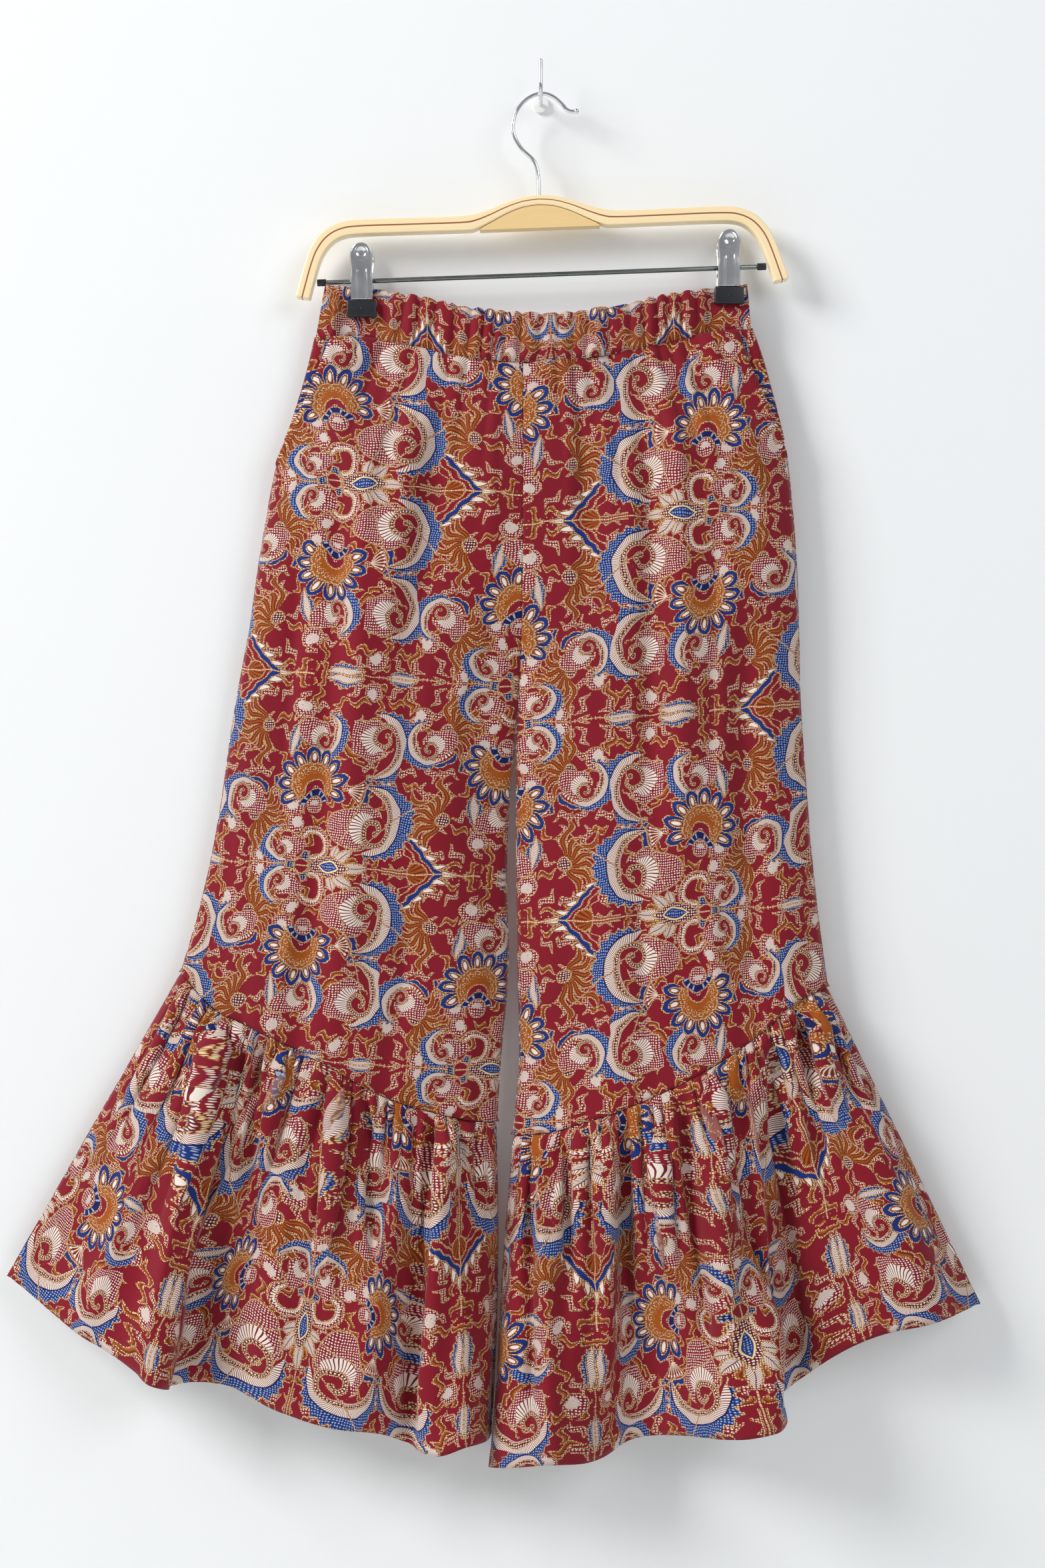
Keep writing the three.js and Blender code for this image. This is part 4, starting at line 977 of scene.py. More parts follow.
# Where each motif stands in the half-drop repeat: across and down in millimetres, its turn in degrees, whether it
# is mirrored, and its scale. The repeat is mirrored at 0 and at its foot.
repeatSize = {"across": 156.0, "down": 152.0, "margin": 34}
motifPlaces = {
    "ribbon": [
        (128, 30, 300, 0, 0.9), (118, 92, 20, 0, 1.0), (72, 134, 70, 1, 0.9), (20, 92, 120, 0, 0.9),
        (150, 134, 100, 0, 0.8), (34, 60, 330, 1, 0.7),
    ],
    "shell": [
        (84, 66, 180, 0, 0.9), (4, 26, 70, 0, 0.95), (158, 34, 330, 0, 0.8), (62, 122, 200, 0, 1.0),
        (30, 146, 330, 0, 0.9), (8, 104, 90, 0, 0.9), (132, 118, 40, 0, 0.8), (104, 138, 120, 0, 0.9),
    ],
    "flames": [(48, 46, 15, 0, 1.1), (28, 118, 160, 1, 1.0)],
    "feather": [(10, 52, 80, 0, 0.9), (128, 149, 0, 0, 1.0), (80, 151, 0, 0, 0.8)],
    "fan": [(116, 62, 190, 0, 0.95), (10, 78, 60, 0, 0.9), (44, 100, 240, 0, 0.8)],
    "leaf": [(29, 0, 0, 0, 1.0)],
    "curl": [
        (92, 31, 4, 0, 1.0), (90, 104, 0, 1, 0.92), (52, 98, 150, 1, 0.62), (142, 100, 30, 0, 0.62),
        (14, 140, 200, 0, 0.5),
    ],
    "flower": [(148, 64, 84, 0, 0.95)],
    "lotus": [(127, 0, 0, 0, 1.0)],
}
motifDrawers = {
    "ribbon": drawRibbon, "shell": drawShell, "flames": drawFlames, "feather": drawFeather, "fan": drawFan,
    "leaf": drawLeaf, "curl": drawCurl, "flower": drawFlower, "lotus": drawLotus,
}


# A motif near the repeat's sides also stands, turned over, just outside them.
def withCopies(places):
    across, down, margin = repeatSize["across"], repeatSize["down"], repeatSize["margin"]
    found = []
    for s, t, turn, mirror, scale in places:
        found.append((s, t, turn, mirror, scale))
        for shift in (-across, across):
            if -margin < s + shift < across + margin:
                found.append((s + shift, down - t, -turn, 1 - mirror, scale))
    return found


# The local place of whichever copy of a motif is nearest.
def nearestPlace(place, copies):
    tree, best, least = place.tree, None, None
    for s, t, turn, mirror, scale in copies:
        angle = math.radians(turn)
        found = [(s, t, 0.0), (math.cos(angle) / scale, math.sin(angle) / scale, -1 if mirror else 1)]
        if best is None:
            best = [addNode(tree, "CombineXYZ", dict(enumerate(values))).outputs[0] for values in found]
            least = apart(place, s, t) if len(copies) > 1 else None
            continue
        distance = apart(place, s, t)
        nearer = distance.below(least)
        for i, values in enumerate(found):
            best[i] = addNode(tree, "Mix", {0: nearer, 4: best[i], 5: values}, data_type="VECTOR").outputs[1]
        least = distance.min(least)
    away = addNode(tree, "VectorMath", {0: place, 1: best[0]}, operation="SUBTRACT")
    (dx, dy, _), (c, w, flip) = split(tree, away.outputs[0]), split(tree, best[1])
    return flatPlace(tree, dx * c + dy * w, (dy * c - dx * w) * flip)


# What lies between the motifs: size and evenness of the dots, the beads and the sprigs, and a slight wobble of it all.
fillSizes = {
    "dots": (1.15, 0.35), "beads": (1.9, 0.2), "sprigs": (15.5, 0.6), "sprig": (2.3, 9.0), "wobble": 0.05,
    "shake": 5.0,
}


def batikGroup():
    motifs = {name: motifGroup(f"batik_{name}", draw) for name, draw in motifDrawers.items()}
    tree, (given,), result = newGroup("batik_print", {"Cloth": "Vector"}, {"Colour": "Color"})
    across, down = repeatSize["across"], repeatSize["down"]
    inputs = {"Scale": fillSizes["wobble"], "Detail": 1.0, "Vector": given}
    wobble = split(tree, addNode(tree, "TexNoise", inputs, noise_dimensions="2D").outputs["Color"], "Color")
    shake = fillSizes["shake"]
    s0, t0 = (at + moved.over(shake, -shake / 2) for at, moved in zip(split(tree, given)[:2], wobble))
    cell = s0.over(1 / across).floor()
    t = (t0 + cell.op("FLOORED_MODULO", 2.0) * down).op("PINGPONG", down)
    place = flatPlace(tree, s0 - cell * across, t)

    def cells(kind):
        size, even = fillSizes[kind]
        inputs = {"Scale": 1 / size, "Randomness": even, "Vector": place}
        return addNode(tree, "TexVoronoi", inputs, voronoi_dimensions="2D").outputs

    rope = paint("tan", "rope", Val(tree, cells("dots")["Distance"]).over(-9.0, 3.8).clamp())
    speck = Val(tree, cells("beads")["Distance"]).over(-9.0, 3.05).clamp()
    sprig = cells("sprigs")
    angle, leafy, _ = split(tree, sprig["Color"], "Color")[:3]
    off = addNode(tree, "VectorMath", {0: place, 1: sprig["Position"]}, operation="SUBTRACT")
    ox, oy, _ = split(tree, off.outputs[0])
    turn = angle * fullTurn
    ct, st = turn.cos(), turn.sin()
    u = ox * ct + oy * st
    v = oy * ct - ox * st + (u * 0.5).sin() * 2.2
    wide, half = fillSizes["sprig"]
    sprigEdge = v.abs() - (u * u).over(-wide / half**2, wide)
    filler = paint(paint("ground", "cream", speck), paint("ochre", "rust", within(v)), leafy.above(0.42))
    filler = paint(filler, rope, ring(sprigEdge, 0.7))
    colour = paint("ground", filler, within(sprigEdge - 0.6))
    for name, places in motifPlaces.items():
        inputs = {"Place": nearestPlace(place, withCopies(places)), "Rope": rope, "Speck": speck}
        use = tree.nodes.new("ShaderNodeGroup")
        use.node_tree = motifs[name]
        for label, value in inputs.items():
            feed(tree, use.inputs[label], value)
        colour = paint(colour, *(Val(tree, socket) for socket in use.outputs))
    feed(tree, result[0], colour)
    return tree


# The hanger is drawn round its crown and leans a little. Its lines are (X, height) pairs.
hangerRoll = math.radians(2.1)
hangerCrown = (-1.5, hangPlane, -75.5)
bowTopLine = [
    (0, 0), (12, -1), (26, -4.9), (39, -9.7), (52, -13), (68, -14), (100, -13.8), (138, -13.6), (153, -15.2),
    (166, -21.5), (175, -32), (181, -46), (189, -71),
]
bowUnderLine = [
    (178, -73), (171, -50), (165.5, -38), (158, -29.8), (149, -26), (134, -25), (100, -25), (66, -25.2), (52, -25.2),
]
crownUnderLine = [(52, -25.2), (45, -22.8), (36, -18.6), (24, -12.8), (12, -8.8), (0, -7.4)]
coreTopLine = [(0, -7.9), (12, -9.3), (24, -13.4), (36, -19.3), (43.5, -23)]
bowSizes = {"depth": 12.0, "ease": 1.3, "sections": 90, "topSteps": 60, "underSteps": 44, "crownSteps": 22}
coreSizes = {"depth": 11.0, "end": 46, "foot": -25.15, "steps": 30}
hookLine = [
    (-1.28, -80.5), (-1.5, -75.5), (-2.2, -58), (-5, -48.7), (-15.2, -38.2), (-20.6, -28), (-21.2, -19.5),
    (-18.8, -10.5), (-12.8, -2.6), (-4.8, 2.3), (2.5, 3.4), (9.8, 0.8), (16.2, -4.6), (20.4, -9.2), (23.6, -10.3),
    (27.4, -10.1),
]
wallHookLine = [(-3.3, -0.2), (-9, -0.4), (-19, -0.6), (-25, 1.2), (-28.4, 7), (-28.8, 16), (-27.6, 26.5)]
wireRadius = 1.6
rodSizes = {"below": 60.0, "radius": 1.8, "half": 165.0, "capLength": 7.0, "capRadius": 2.7, "capGap": 0.3}
# A clip's heights are from the rod; its out line is (height, distance from the cloth's middle) pairs.
clipSizes = {"width": 17.6, "above": 26.7, "foot": -15.7, "metal": 1.0, "rivet": 19.5, "neck": 6.5, "ribs": 3.4}
clipOutLine = [(-15.7, 4.4), (-8, 5.6), (0, 6.9), (12, 8.6), (26.7, 11)]
tipSizes = {
    "width": 23.0, "height": 12.8, "depth": 5.2, "inner": 2.95, "top": -16.0, "ease": 1.1, "pip": -6.4,
    "pipRound": [(0, 1.1), (0.35, 0.95), (0.5, 0.5), (0.52, 0.02)],
}
coilSizes = {"turns": 6, "steps": 22, "half": 4.9, "radius": 4.6, "wire": 0.75}


# Points along a uniform Catmull-Rom line, as the CAD source's SplineCurve gives them.
def splineThrough(points, divisions):
    p = np.array(points, float)
    t = np.linspace(0, len(p) - 1, divisions + 1)
    i = np.clip(np.floor(t).astype(int), 0, len(p) - 2)
    w = (t - i)[:, None]
    p0, p1, p2, p3 = p[np.maximum(i - 1, 0)], p[i], p[i + 1], p[np.minimum(i + 2, len(p) - 1)]
    v0, v1 = (p2 - p0) / 2, (p3 - p1) / 2
    return (2 * p1 - 2 * p2 + v0 + v1) * w**3 + (-3 * p1 + 3 * p2 - 2 * v0 - v1) * w**2 + v0 * w + p1


def onHanger(x, y, z):
    c, s = math.cos(hangerRoll), math.sin(hangerRoll)
    return (hangerCrown[0] + x * c - z * s, hangerCrown[1] + y, hangerCrown[2] + x * s + z * c)


# A bar with rounded edges between an upper and a lower line, with its run in metres and its share down as UV.
def woodBar(name, upper, lower, depth, ease):
    upper, lower = (np.concatenate([(line * [-1, 1])[::-1][:-1], line]) for line in (upper, lower))
    run = runOf((upper + lower) / 2)
    rows = 4
    work, layer, cells = newGrid(len(run) - 1, rows, "grain")
    for face in work.faces:
        for loop in face.loops:
            column, row = cells[loop.vert]
            loop[layer].uv = (run[column] * mm, row / rows)
    for vertex, (column, row) in cells.items():
        x, z = mix(upper[column], lower[column], row / rows)
        vertex.co = [c * mm for c in onHanger(x, -depth / 2, z)]
    pulled = bmesh.ops.extrude_face_region(work, geom=work.faces[:])["geom"]
    bmesh.ops.translate(work, verts=[v for v in pulled if isinstance(v, bmesh.types.BMVert)], vec=(0, depth * mm, 0))
    bmesh.ops.recalc_face_normals(work, faces=work.faces)
    if ease:
        sharp = [e for e in work.edges if len(e.link_faces) == 2 and e.calc_face_angle(0) > 0.9]
        bmesh.ops.bevel(
            work, geom=sharp, offset=ease * mm, segments=4, profile=0.5, affect="EDGES", material=-1, clamp_overlap=True
        )
    for face in work.faces:
        face.smooth = bool(ease)
    return finished(work, name)


def hangerBow():
    b = bowSizes
    top = splineThrough(bowTopLine, b["topSteps"])
    under = [splineThrough(bowUnderLine, b["underSteps"]), splineThrough(crownUnderLine, b["crownSteps"])[1:]]
    under = np.concatenate(under)[::-1]
    topRun, underRun = runOf(top), runOf(under)
    upper = placesAt(np.linspace(0, 1, b["sections"]) * topRun[-1], topRun, top)
    # The lower line is met square to the upper one, so it is looked up by the nearest point that keeps moving on.
    dense = placesAt(np.linspace(0, underRun[-1], 1200), underRun, under)
    lower, last = [], 0
    for p, d in zip(upper, np.gradient(upper, axis=0)):
        score = np.abs((dense - p) @ (d / np.linalg.norm(d))) + 0.02 * np.linalg.norm(dense - p, axis=1)
        score[:last] = 1e9
        last = int(np.argmin(score))
        lower.append(dense[last])
    lower[0], lower[-1] = dense[0], dense[-1]
    return woodBar("hanger_bow_laminate", upper, np.array(lower), b["depth"], b["ease"])


def hangerCore():
    c = coreSizes
    top = np.concatenate([splineThrough(coreTopLine, c["steps"]), [[c["end"], c["foot"] + 0.05]]])
    low = np.stack([top[:, 0], np.full(len(top), c["foot"])], axis=-1)
    low[-1, 1] -= 0.05
    return woodBar("hanger_core_wedge", top, low, c["depth"], 0)


def wire(name, points, radius):
    curve = bpy.data.curves.new(name, "CURVE")
    curve.dimensions = "3D"
    curve.bevel_depth = radius * mm
    curve.bevel_resolution = 6
    curve.use_fill_caps = True
    spline = curve.splines.new("POLY")
    spline.points.add(len(points) - 1)
    for target, p in zip(spline.points, points):
        target.co = (p[0] * mm, p[1] * mm, p[2] * mm, 1)
    obj = bpy.data.objects.new(name, curve)
    bpy.context.collection.objects.link(obj)
    mesh = bpy.data.meshes.new_from_object(obj.evaluated_get(bpy.context.evaluated_depsgraph_get()))
    bpy.data.objects.remove(obj)
    mesh.polygons.foreach_set("use_smooth", [len(p.vertices) == 4 for p in mesh.polygons])
    made = bpy.data.objects.new(name, mesh)
    bpy.context.collection.objects.link(made)
    return made


# A body turned about an axis from (distance along, radius) pairs, with flat ends, and put at a place.
def turned(name, profile, place, axis, segments=32):
    work = bmesh.new()
    line = [work.verts.new((radius, 0, along)) for along, radius in profile]
    edges = [work.edges.new(pair) for pair in zip(line, line[1:])]
    bmesh.ops.spin(
        work, geom=line + edges, cent=(0, 0, 0), axis=(0, 0, 1), angle=fullTurn, steps=segments, use_merge=True
    )
    for face in work.faces:
        face.smooth = True
    bmesh.ops.holes_fill(work, edges=work.edges, sides=0)
    for vertex in work.verts:
        c, s, along = vertex.co
        offset = (along, c, s) if axis == "x" else (c, along, s)
        vertex.co = [value * mm for value in place(*offset)]
    bmesh.ops.recalc_face_normals(work, faces=work.faces)
    return finished(work, name)


def movedBy(x, y, z):
    return lambda a, b, c: (x + a, y + b, z + c)


def joined(objects, name):
    bpy.ops.object.select_all(action="DESELECT")
    for obj in objects:
        obj.select_set(True)
    bpy.context.view_layer.objects.active = objects[0]
    bpy.ops.object.join()
    made = bpy.context.view_layer.objects.active
    made.name = name
    return made


def roundedEnds(half, radius, ease=0.5):
    end = [(-half, radius - ease), (-half + ease * 0.3, radius - ease * 0.3), (-half + ease, radius)]
    return end + [(-along, out) for along, out in reversed(end)]


# One half of a clip's metal: a crowned plate with a round head, two raised ribs below and a rivet hole's dish.
def clipPlate(name, face, x0, rodDrop):
    f, outAt = clipSizes, curveOf(clipOutLine)
    headRadius = f["width"] / 2
    headFrom = f["above"] - headRadius
    head = headFrom + headRadius * np.sin(np.linspace(0, math.pi / 2, 16))
    across = np.linspace(-1, 1, 41)
    rows = []
    for height in np.concatenate([np.linspace(f["foot"], headFrom, 26)[:-1], head]):
        rise = max(0.0, height - headFrom)
        x = across * max(0.4, math.sqrt(max(headRadius**2 - rise**2, 0)))
        fromRivet = np.hypot(x, height - f["rivet"])
        neck = 1 - 0.09 * bell(height - f["neck"], 5)
        crown = 0.9 * (1 - (x / headRadius) ** 2)
        rib = 0.55 * bell(np.abs(x) - f["ribs"], 0.75) * smooth(8.5, 5.5, height)
        dish = -0.9 * bell(fromRivet, 3.4, 4)
        lip = 0.4 * bell(fromRivet - 4.3, 0.8)
        turnedIn = -1.6 * smooth(0.9, 1.0, np.abs(across)) * (1 if height < headFrom else 0.6)
        stand = outAt(height) + crown + f["metal"] + rib + dish + lip + turnedIn
        y = hangPlane + outwardOf(face) * stand
        rows.append(np.stack([x0 + x * neck, y, np.full(x.shape, height - rodDrop)], axis=-1))
    points = np.array(rows)
    obj = gridMesh(name, points, points[..., :2])
    turnOut(obj, face)
    thicken(obj, f["metal"])
    return obj


def clipTipPiece(name, face, x0, rodDrop):
    f, outward = tipSizes, outwardOf(face)
    work = bmesh.new()
    bmesh.ops.create_cube(work, size=1.0)
    for v in work.verts:
        v.co.x *= f["width"] - (0.0 if v.co.z < 0 else 0.6)
        v.co.y *= f["depth"]
        v.co.z *= f["height"]
    bmesh.ops.bevel(work, geom=list(work.edges), offset=f["ease"], segments=4, profile=0.5, affect="EDGES", material=-1)
    for v in work.verts:
        v.co.x += x0
        v.co.y = v.co.y + hangPlane + outward * (f["inner"] + f["depth"] / 2)
        v.co.z += -rodDrop + f["top"] - f["height"] / 2
        v.co *= mm
    for flat in work.faces:
        flat.smooth = True
    place = movedBy(x0, hangPlane + outward * (f["inner"] + f["depth"] - 0.05), -rodDrop + f["top"] + f["pip"])
    pip = turned(name + "_pip", f["pipRound"], lambda a, b, c: place(a, outward * b, c), "y", 20)
    return joined([finished(work, name), pip], name)


def springCoil(name, x0, rodDrop):
    f = coilSizes
    last, points = f["turns"] * f["steps"], []
    for i in range(last + 1):
        a = fullTurn * i / f["steps"]
        x = x0 - f["half"] + 2 * f["half"] * i / last
        points.append((x, hangPlane + f["radius"] * math.cos(a), -rodDrop + f["radius"] * math.sin(a)))
    return wire(name, points, f["wire"])


def newMaterial(name):
    material = bpy.data.materials.new(name)
    material.use_nodes = True
    tree = material.node_tree
    return material, tree, tree.nodes["Principled BSDF"]


def setInputs(tree, node, values):
    for name, value in values.items():
        feed(tree, node.inputs[name], value)


def objectPlace(tree):
    return tree.nodes.new("ShaderNodeTexCoord").outputs["Object"]


# Uneven wear, streaks and grain come from one group, placed in each material with its own values.
def mottleGroup():
    takes = {"Place": "Vector", "Stretch": "Vector", "Scale": "Float", "Detail": "Float", "Rough": "Float"}
    tree, (place, stretch, scale, detail, rough), result = newGroup("mottle", takes, {"Mottle": "Float"})
    mapping = addNode(tree, "Mapping", {"Vector": place, "Scale": stretch})
    inputs = {"Vector": mapping.outputs[0], "Scale": scale, "Detail": detail, "Roughness": rough}
    tree.links.new(addNode(tree, "TexNoise", inputs).outputs[0], result[0])
    return tree


mottle = mottleGroup()


def noise(tree, vector, scale, detail=2.0, stretch=(1.0, 1.0, 1.0), rough=0.5):
    node = tree.nodes.new("ShaderNodeGroup")
    node.node_tree = mottle
    setInputs(tree, node, {"Place": vector, "Stretch": stretch, "Scale": scale, "Detail": detail, "Rough": rough})
    return Val(tree, node.outputs["Mottle"])


# The colour and roughness that change over the surface, and a bump.
def dress(tree, shader, colour, roughness, height, strength, distance):
    bump = addNode(tree, "Bump", {"Strength": strength, "Distance": distance, "Height": height})
    setInputs(tree, shader, {"Base Color": colour, "Roughness": roughness, "Normal": bump.outputs[0]})


weaveSizes = {"pitch": 0.9, "threads": 0.5, "slub": 2.4, "strength": 0.22, "distance": 0.0002}
cottonFinish = {
    "saturation": 1.12, "wear": (0.2, 0.7), "rough": (0.1, 0.74), "faded": 0.45,
    "gloss": {"Sheen Weight": 0.12, "Sheen Roughness": 0.5, "Specular IOR Level": 0.28},
}


def printedCotton(name, group, faded):
    material, tree, shader = newMaterial(name)
    uv = addNode(tree, "UVMap", {}, uv_map="cloth")
    metres = addNode(tree, "VectorMath", {0: uv.outputs[0], "Scale": 1000.0}, operation="SCALE").outputs[0]
    use = tree.nodes.new("ShaderNodeGroup")
    use.node_tree = group
    feed(tree, use.inputs[0], metres)
    colour = Val(tree, use.outputs[0])
    if faded:
        colour = paint(colour, "faded", cottonFinish["faded"])
    worn = noise(tree, objectPlace(tree), 9.0, 3.0)
    inputs = {"Saturation": cottonFinish["saturation"], "Value": worn.over(*cottonFinish["wear"]), "Color": colour}
    shade = addNode(tree, "HueSaturation", inputs).outputs[0]
    threads = [part.over(fullTurn / weaveSizes["pitch"]).sin() for part in split(tree, metres)[:2]]
    slub = noise(tree, metres, 0.35, 3.0, (1.0, 0.25, 1.0))
    weave = threads[0] * threads[1] * weaveSizes["threads"] + slub * weaveSizes["slub"]
    dress(tree, shader, shade, worn.over(*cottonFinish["rough"]), weave, weaveSizes["strength"], weaveSizes["distance"])
    setInputs(tree, shader, cottonFinish["gloss"])
    return material


# Place down the bar, sharpness and width of the dark line and the pale glue line between the wood's layers.
inlayLines = [(0.46, -40.0, 2.5), (0.74, -60.0, 1.0)]


def lacqueredWood(name, light, dark, inlay):
    material, tree, shader = newMaterial(name)
    uv = addNode(tree, "UVMap", {}, uv_map="grain").outputs[0]
    grain = noise(tree, uv, 26.0, 5.0, (1.0, 0.55, 1.0), 0.62)
    fine = noise(tree, uv, 160.0, 3.0, (1.0, 0.3, 1.0))
    share = (grain * 0.75 + fine * 0.45 - 0.28).clamp()
    colour = paint(light, dark, share)
    if inlay:
        height = split(tree, uv)[1]
        lines = [((height - at).abs() * sharp).op("ADD", wide, clamp=True) for at, sharp, wide in inlayLines]
        colour = paint(colour, srgb(150, 88, 46), lines[0])
        colour = paint(colour, srgb(214, 170, 116), lines[1] * 0.25)
    dress(tree, shader, colour, fine.over(0.12, 0.3), share, 0.12, 0.0003)
    setInputs(tree, shader, {"Coat Weight": 0.35, "Coat Roughness": 0.12})
    return material


# One colour mottled with another, and a roughness that follows it: steel, rubber and plastic.
def mottled(name, dark, light, metal, scale, detail, spread, roughness, strength, distance):
    material, tree, shader = newMaterial(name)
    speckle = noise(tree, objectPlace(tree), scale, detail)
    colour = paint(srgb(*dark), srgb(*light), speckle)
    dress(tree, shader, colour, speckle.over(spread, roughness), speckle, strength, distance)
    setInputs(tree, shader, {"Metallic": metal})
    return material


def steel(name, dark, light, roughness):
    return mottled(name, dark, light, 1.0, 90.0, 3.0, 0.14, roughness, 0.05, 0.0003)


def moulded(name, dark, light, scale):
    return mottled(name, dark, light, 0.0, scale, 4.0, 0.16, 0.32, 0.12, 0.0002)


batik = batikGroup()
cottonPair = (printedCotton("printed_cotton", batik, False), printedCotton("printed_cotton_inside", batik, True))
finishes = {
    "bow": ("light_wood", lacqueredWood("light_wood", srgb(252, 232, 190), srgb(244, 214, 160), True)),
    "core": ("core_wood", lacqueredWood("core_wood", srgb(240, 210, 152), srgb(226, 186, 124), False)),
    "bright": ("polished_steel", steel("polished_steel", (206, 208, 212), (240, 241, 243), 0.13)),
    "plated": ("polished_steel", steel("plated_steel", (112, 120, 120), (140, 148, 147), 0.22)),
    "rubber": ("black_rubber", moulded("black_rubber", (18, 19, 24), (34, 36, 42), 400.0)),
    "plastic": ("white_plastic", moulded("white_plastic", (226, 229, 229), (242, 243, 242), 60.0)),
}
print("materials made")

for face in ("front", "back"):
    for side in ("left", "right"):
        leg, band = f"leg_{face}_{side}", f"waistband_{face}"
        clothPiece(leg, face, legShell(side, face))
        clothPiece(f"flounce_{face}_{side}", face, flounceShell(side, face))
    clothPiece(band, face, bandShell(face), walled=False)
for side in ("left", "right"):
    clothPiece(f"pocket_facing_{side}", "front", facingShell(side))
print("cloth made")


def hardware(obj, finish, node):
    slotName, material = finishes[finish]
    obj.data.materials.clear()
    obj.data.materials.append(material)
    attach(obj, "root")
    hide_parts(node)


# (Distance along, radius) pairs of the hook's end ball, the wall hook's tip and its plate.
ballRound = [
    (-2.2, 0.02), (-2.05, 0.8), (-1.55, 1.56), (-0.8, 2.05), (0, 2.2), (0.8, 2.05), (1.55, 1.56), (2.05, 0.8),
    (2.2, 0.02),
]
tipRound = [(-1.65, 0.02), (-1.2, 1.15), (0, 1.65), (1.2, 1.15), (1.65, 0.02)]
discRound = [(-3, 0.3), (-3, 5.6), (-2.8, 6.1), (-2.3, 6.5), (0, 6.5)]

hardware(hangerBow(), "bow", "hanger_bow")
hardware(hangerCore(), "core", "hanger_core")
hook = wire("hanger_hook_wire", centripetal([(x, hangPlane, z) for x, z in hookLine]), wireRadius)
ball = turned("ball", ballRound, movedBy(hookLine[-1][0], hangPlane, hookLine[-1][1]), "x", 24)
hardware(joined([hook, ball], "hanger_hook_wire"), "bright", "hanger_hook")
rodPlace = lambda a, b, c: onHanger(a, b, c - rodSizes["below"])
rod = turned("hanger_rod_bar", roundedEnds(rodSizes["half"], rodSizes["radius"], 0.3), rodPlace, "x")
hardware(rod, "plated", "hanger_rod")
for side, towards in (("left", -1), ("right", 1)):
    middle = towards * (rodSizes["half"] + rodSizes["capGap"] + rodSizes["capLength"] / 2)
    capLine = roundedEnds(rodSizes["capLength"] / 2, rodSizes["capRadius"])
    cap = turned(f"rod_cap_{side}_sleeve", capLine, lambda a, b, c: rodPlace(a + middle, b, c), "x")
    hardware(cap, "rubber", f"rod_cap_{side}")
for side, x0, rodDrop in clipPlaces:
    for face in ("front", "back"):
        clip, tip = f"clip_{face}_{side}", f"clip_tip_{face}_{side}"
        hardware(clipPlate(f"{clip}_plate", face, x0, rodDrop), "bright", clip)
        hardware(clipTipPiece(f"{tip}_pad", face, x0, rodDrop), "rubber", tip)
    hardware(springCoil(f"clip_spring_{side}_coil", x0, rodDrop), "bright", f"clip_spring_{side}")
shank = wire("wall_hook_wire", centripetal([(0, y, z) for y, z in wallHookLine]), wireRadius)
tipBall = turned("tip", tipRound, movedBy(0, *wallHookLine[-1]), "x", 24)
hardware(joined([shank, tipBall], "wall_hook_wire"), "bright", "wall_hook")
hardware(turned("wall_plate_disc", discRound, movedBy(0, 0, 0), "y", 48), "plastic", "wall_plate")
print("hardware made")

stageSizes = {"half": 2.2, "top": 1.1, "floor": -1.3, "deep": 3.2, "behind": 1.6, "wall": 0.0006}


def stageSheet(name, corners, material):
    points = np.array(corners, float).reshape(2, 2, 3) / mm
    obj = gridMesh(name, points, points[..., :2])
    obj.data.materials.append(material)


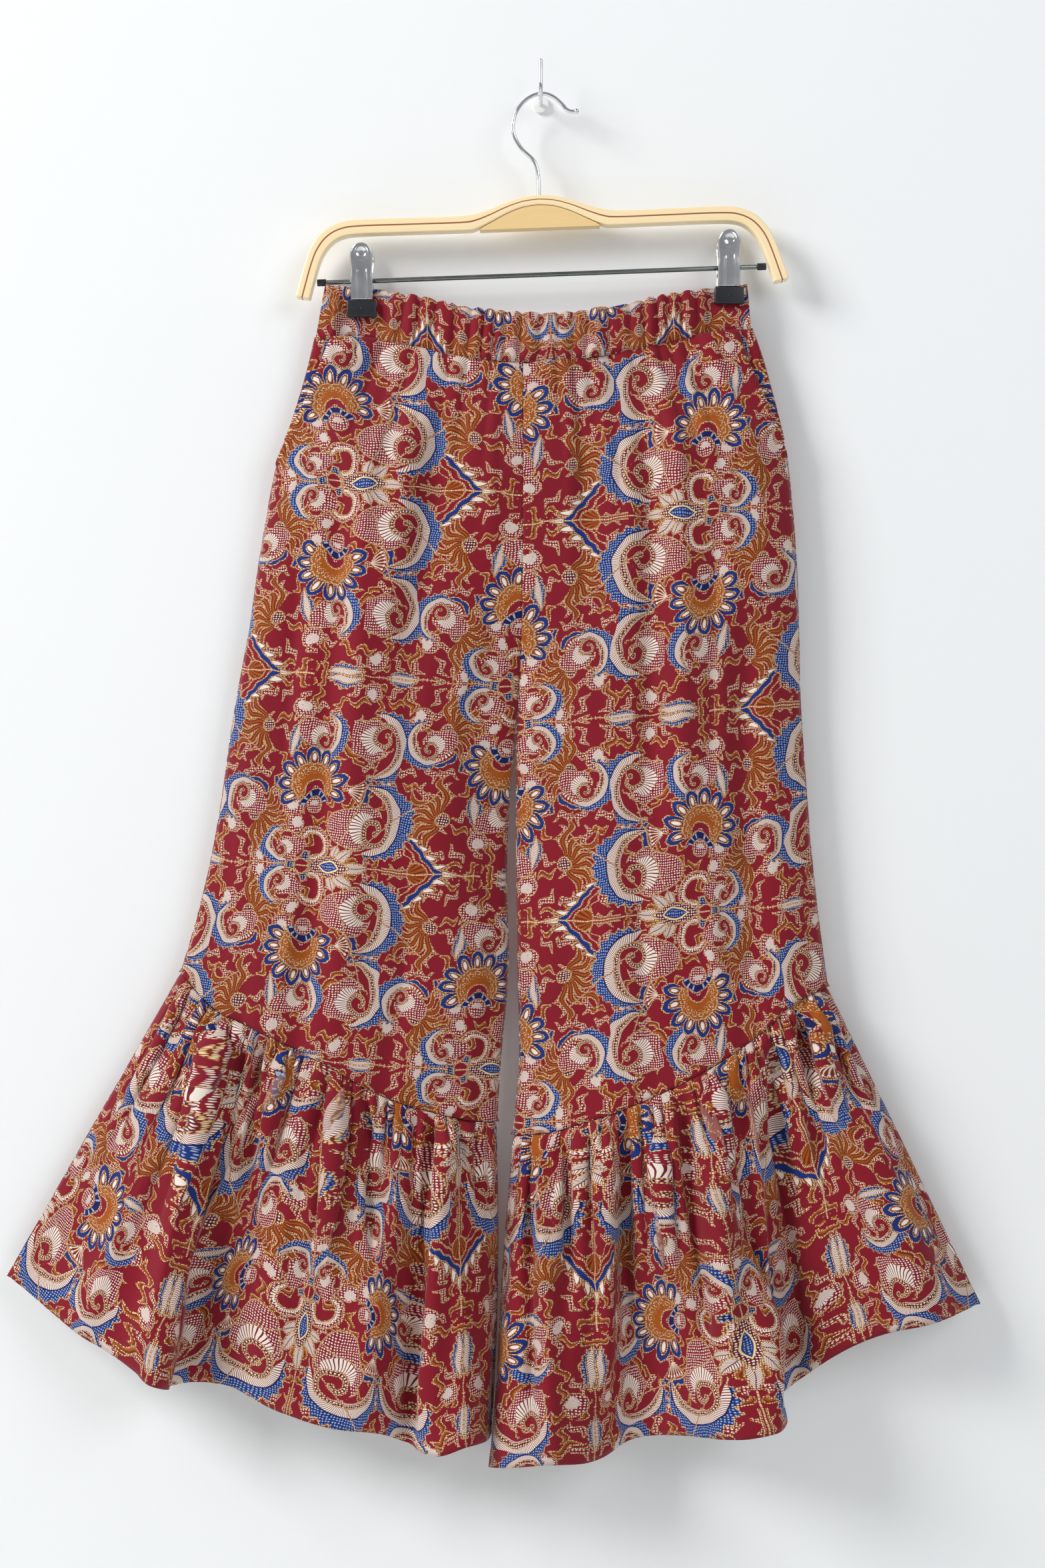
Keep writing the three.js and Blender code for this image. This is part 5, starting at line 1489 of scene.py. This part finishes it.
# Wall paint. A one-sided wall is clear from behind and lets light through from there.
def paintedWall(name, colour, oneSided):
    material, tree, shader = newMaterial(name)
    darker = tuple(c * 0.985 for c in colour[:3]) + (1.0,)
    tone = noise(tree, objectPlace(tree), 3.0, 3.0)
    grit = noise(tree, objectPlace(tree), 180.0, 3.0)
    dress(tree, shader, paint(colour, darker, tone), 0.85, grit, 0.1, 0.0006)
    setInputs(tree, shader, {"Specular IOR Level": 0.15})
    if oneSided:
        behind = tree.nodes.new("ShaderNodeNewGeometry").outputs["Backfacing"]
        shadow = tree.nodes.new("ShaderNodeLightPath").outputs["Is Shadow Ray"]
        clear = tree.nodes.new("ShaderNodeBsdfTransparent").outputs[0]
        unseen = Val(tree, behind).max(Val(tree, shadow))
        mixer = addNode(tree, "MixShader", {0: unseen, 1: shader.outputs[0], 2: clear})
        tree.links.new(mixer.outputs[0], tree.nodes["Material Output"].inputs["Surface"])
    return material


half, top, floor = stageSizes["half"], stageSizes["top"], stageSizes["floor"]
wallCorners = [(x, stageSizes["wall"], z) for z in (floor, top) for x in (-half, half)]
floorCorners = [(x, y, floor) for y in (-stageSizes["deep"], stageSizes["behind"]) for x in (-half, half)]
stageSheet("wall", wallCorners, paintedWall("wall_paint", srgb(240, 243, 245), True))
stageSheet("floor", floorCorners, paintedWall("floor_paint", srgb(232, 232, 230), False))

world = bpy.data.worlds.new("studio")
bpy.context.scene.world = world
world.use_nodes = True
world.node_tree.nodes["Background"].inputs[0].default_value = (0.955, 0.97, 0.99, 1.0)
world.node_tree.nodes["Background"].inputs[1].default_value = 0.29


def softLight(name, place, aim, size, watts, colour):
    data = bpy.data.lights.new(name, "AREA")
    data.shape = "RECTANGLE"
    data.size, data.size_y = size, size
    data.energy = watts
    data.color = colour
    obj = bpy.data.objects.new(name, data)
    bpy.context.collection.objects.link(obj)
    obj.location = place
    obj.rotation_euler = (Vector(aim) - Vector(place)).to_track_quat("-Z", "Y").to_euler()


softLight("window", (-3.1, -2.0, 1.6), (0, 0, -0.35), 1.6, 148, (1.0, 0.985, 0.965))
softLight("fill", (1.9, -2.4, 0.9), (0, 0, -0.3), 1.6, 27, (0.97, 0.98, 1.0))
softLight("behind", (-1.3, 2.5, 0.9), (0, 0, -0.5), 2.0, 40, (1.0, 0.99, 0.98))  # the wall lets it through

photoView = {"at": (-0.014, -1.835, -0.526), "tall": 1.1925, "plane": 1.8, "sensor": 36.0}
lens = bpy.data.cameras.new("photo")
lens.sensor_width = photoView["sensor"]
lens.lens = photoView["sensor"] * photoView["plane"] / photoView["tall"]
lens.clip_end = 50.0
camera = bpy.data.objects.new("photo", lens)
bpy.context.collection.objects.link(camera)
camera.location = photoView["at"]
camera.rotation_euler = (math.pi / 2, 0, 0)
bpy.context.scene.camera = camera
bpy.context.scene.view_settings.view_transform = "Standard"
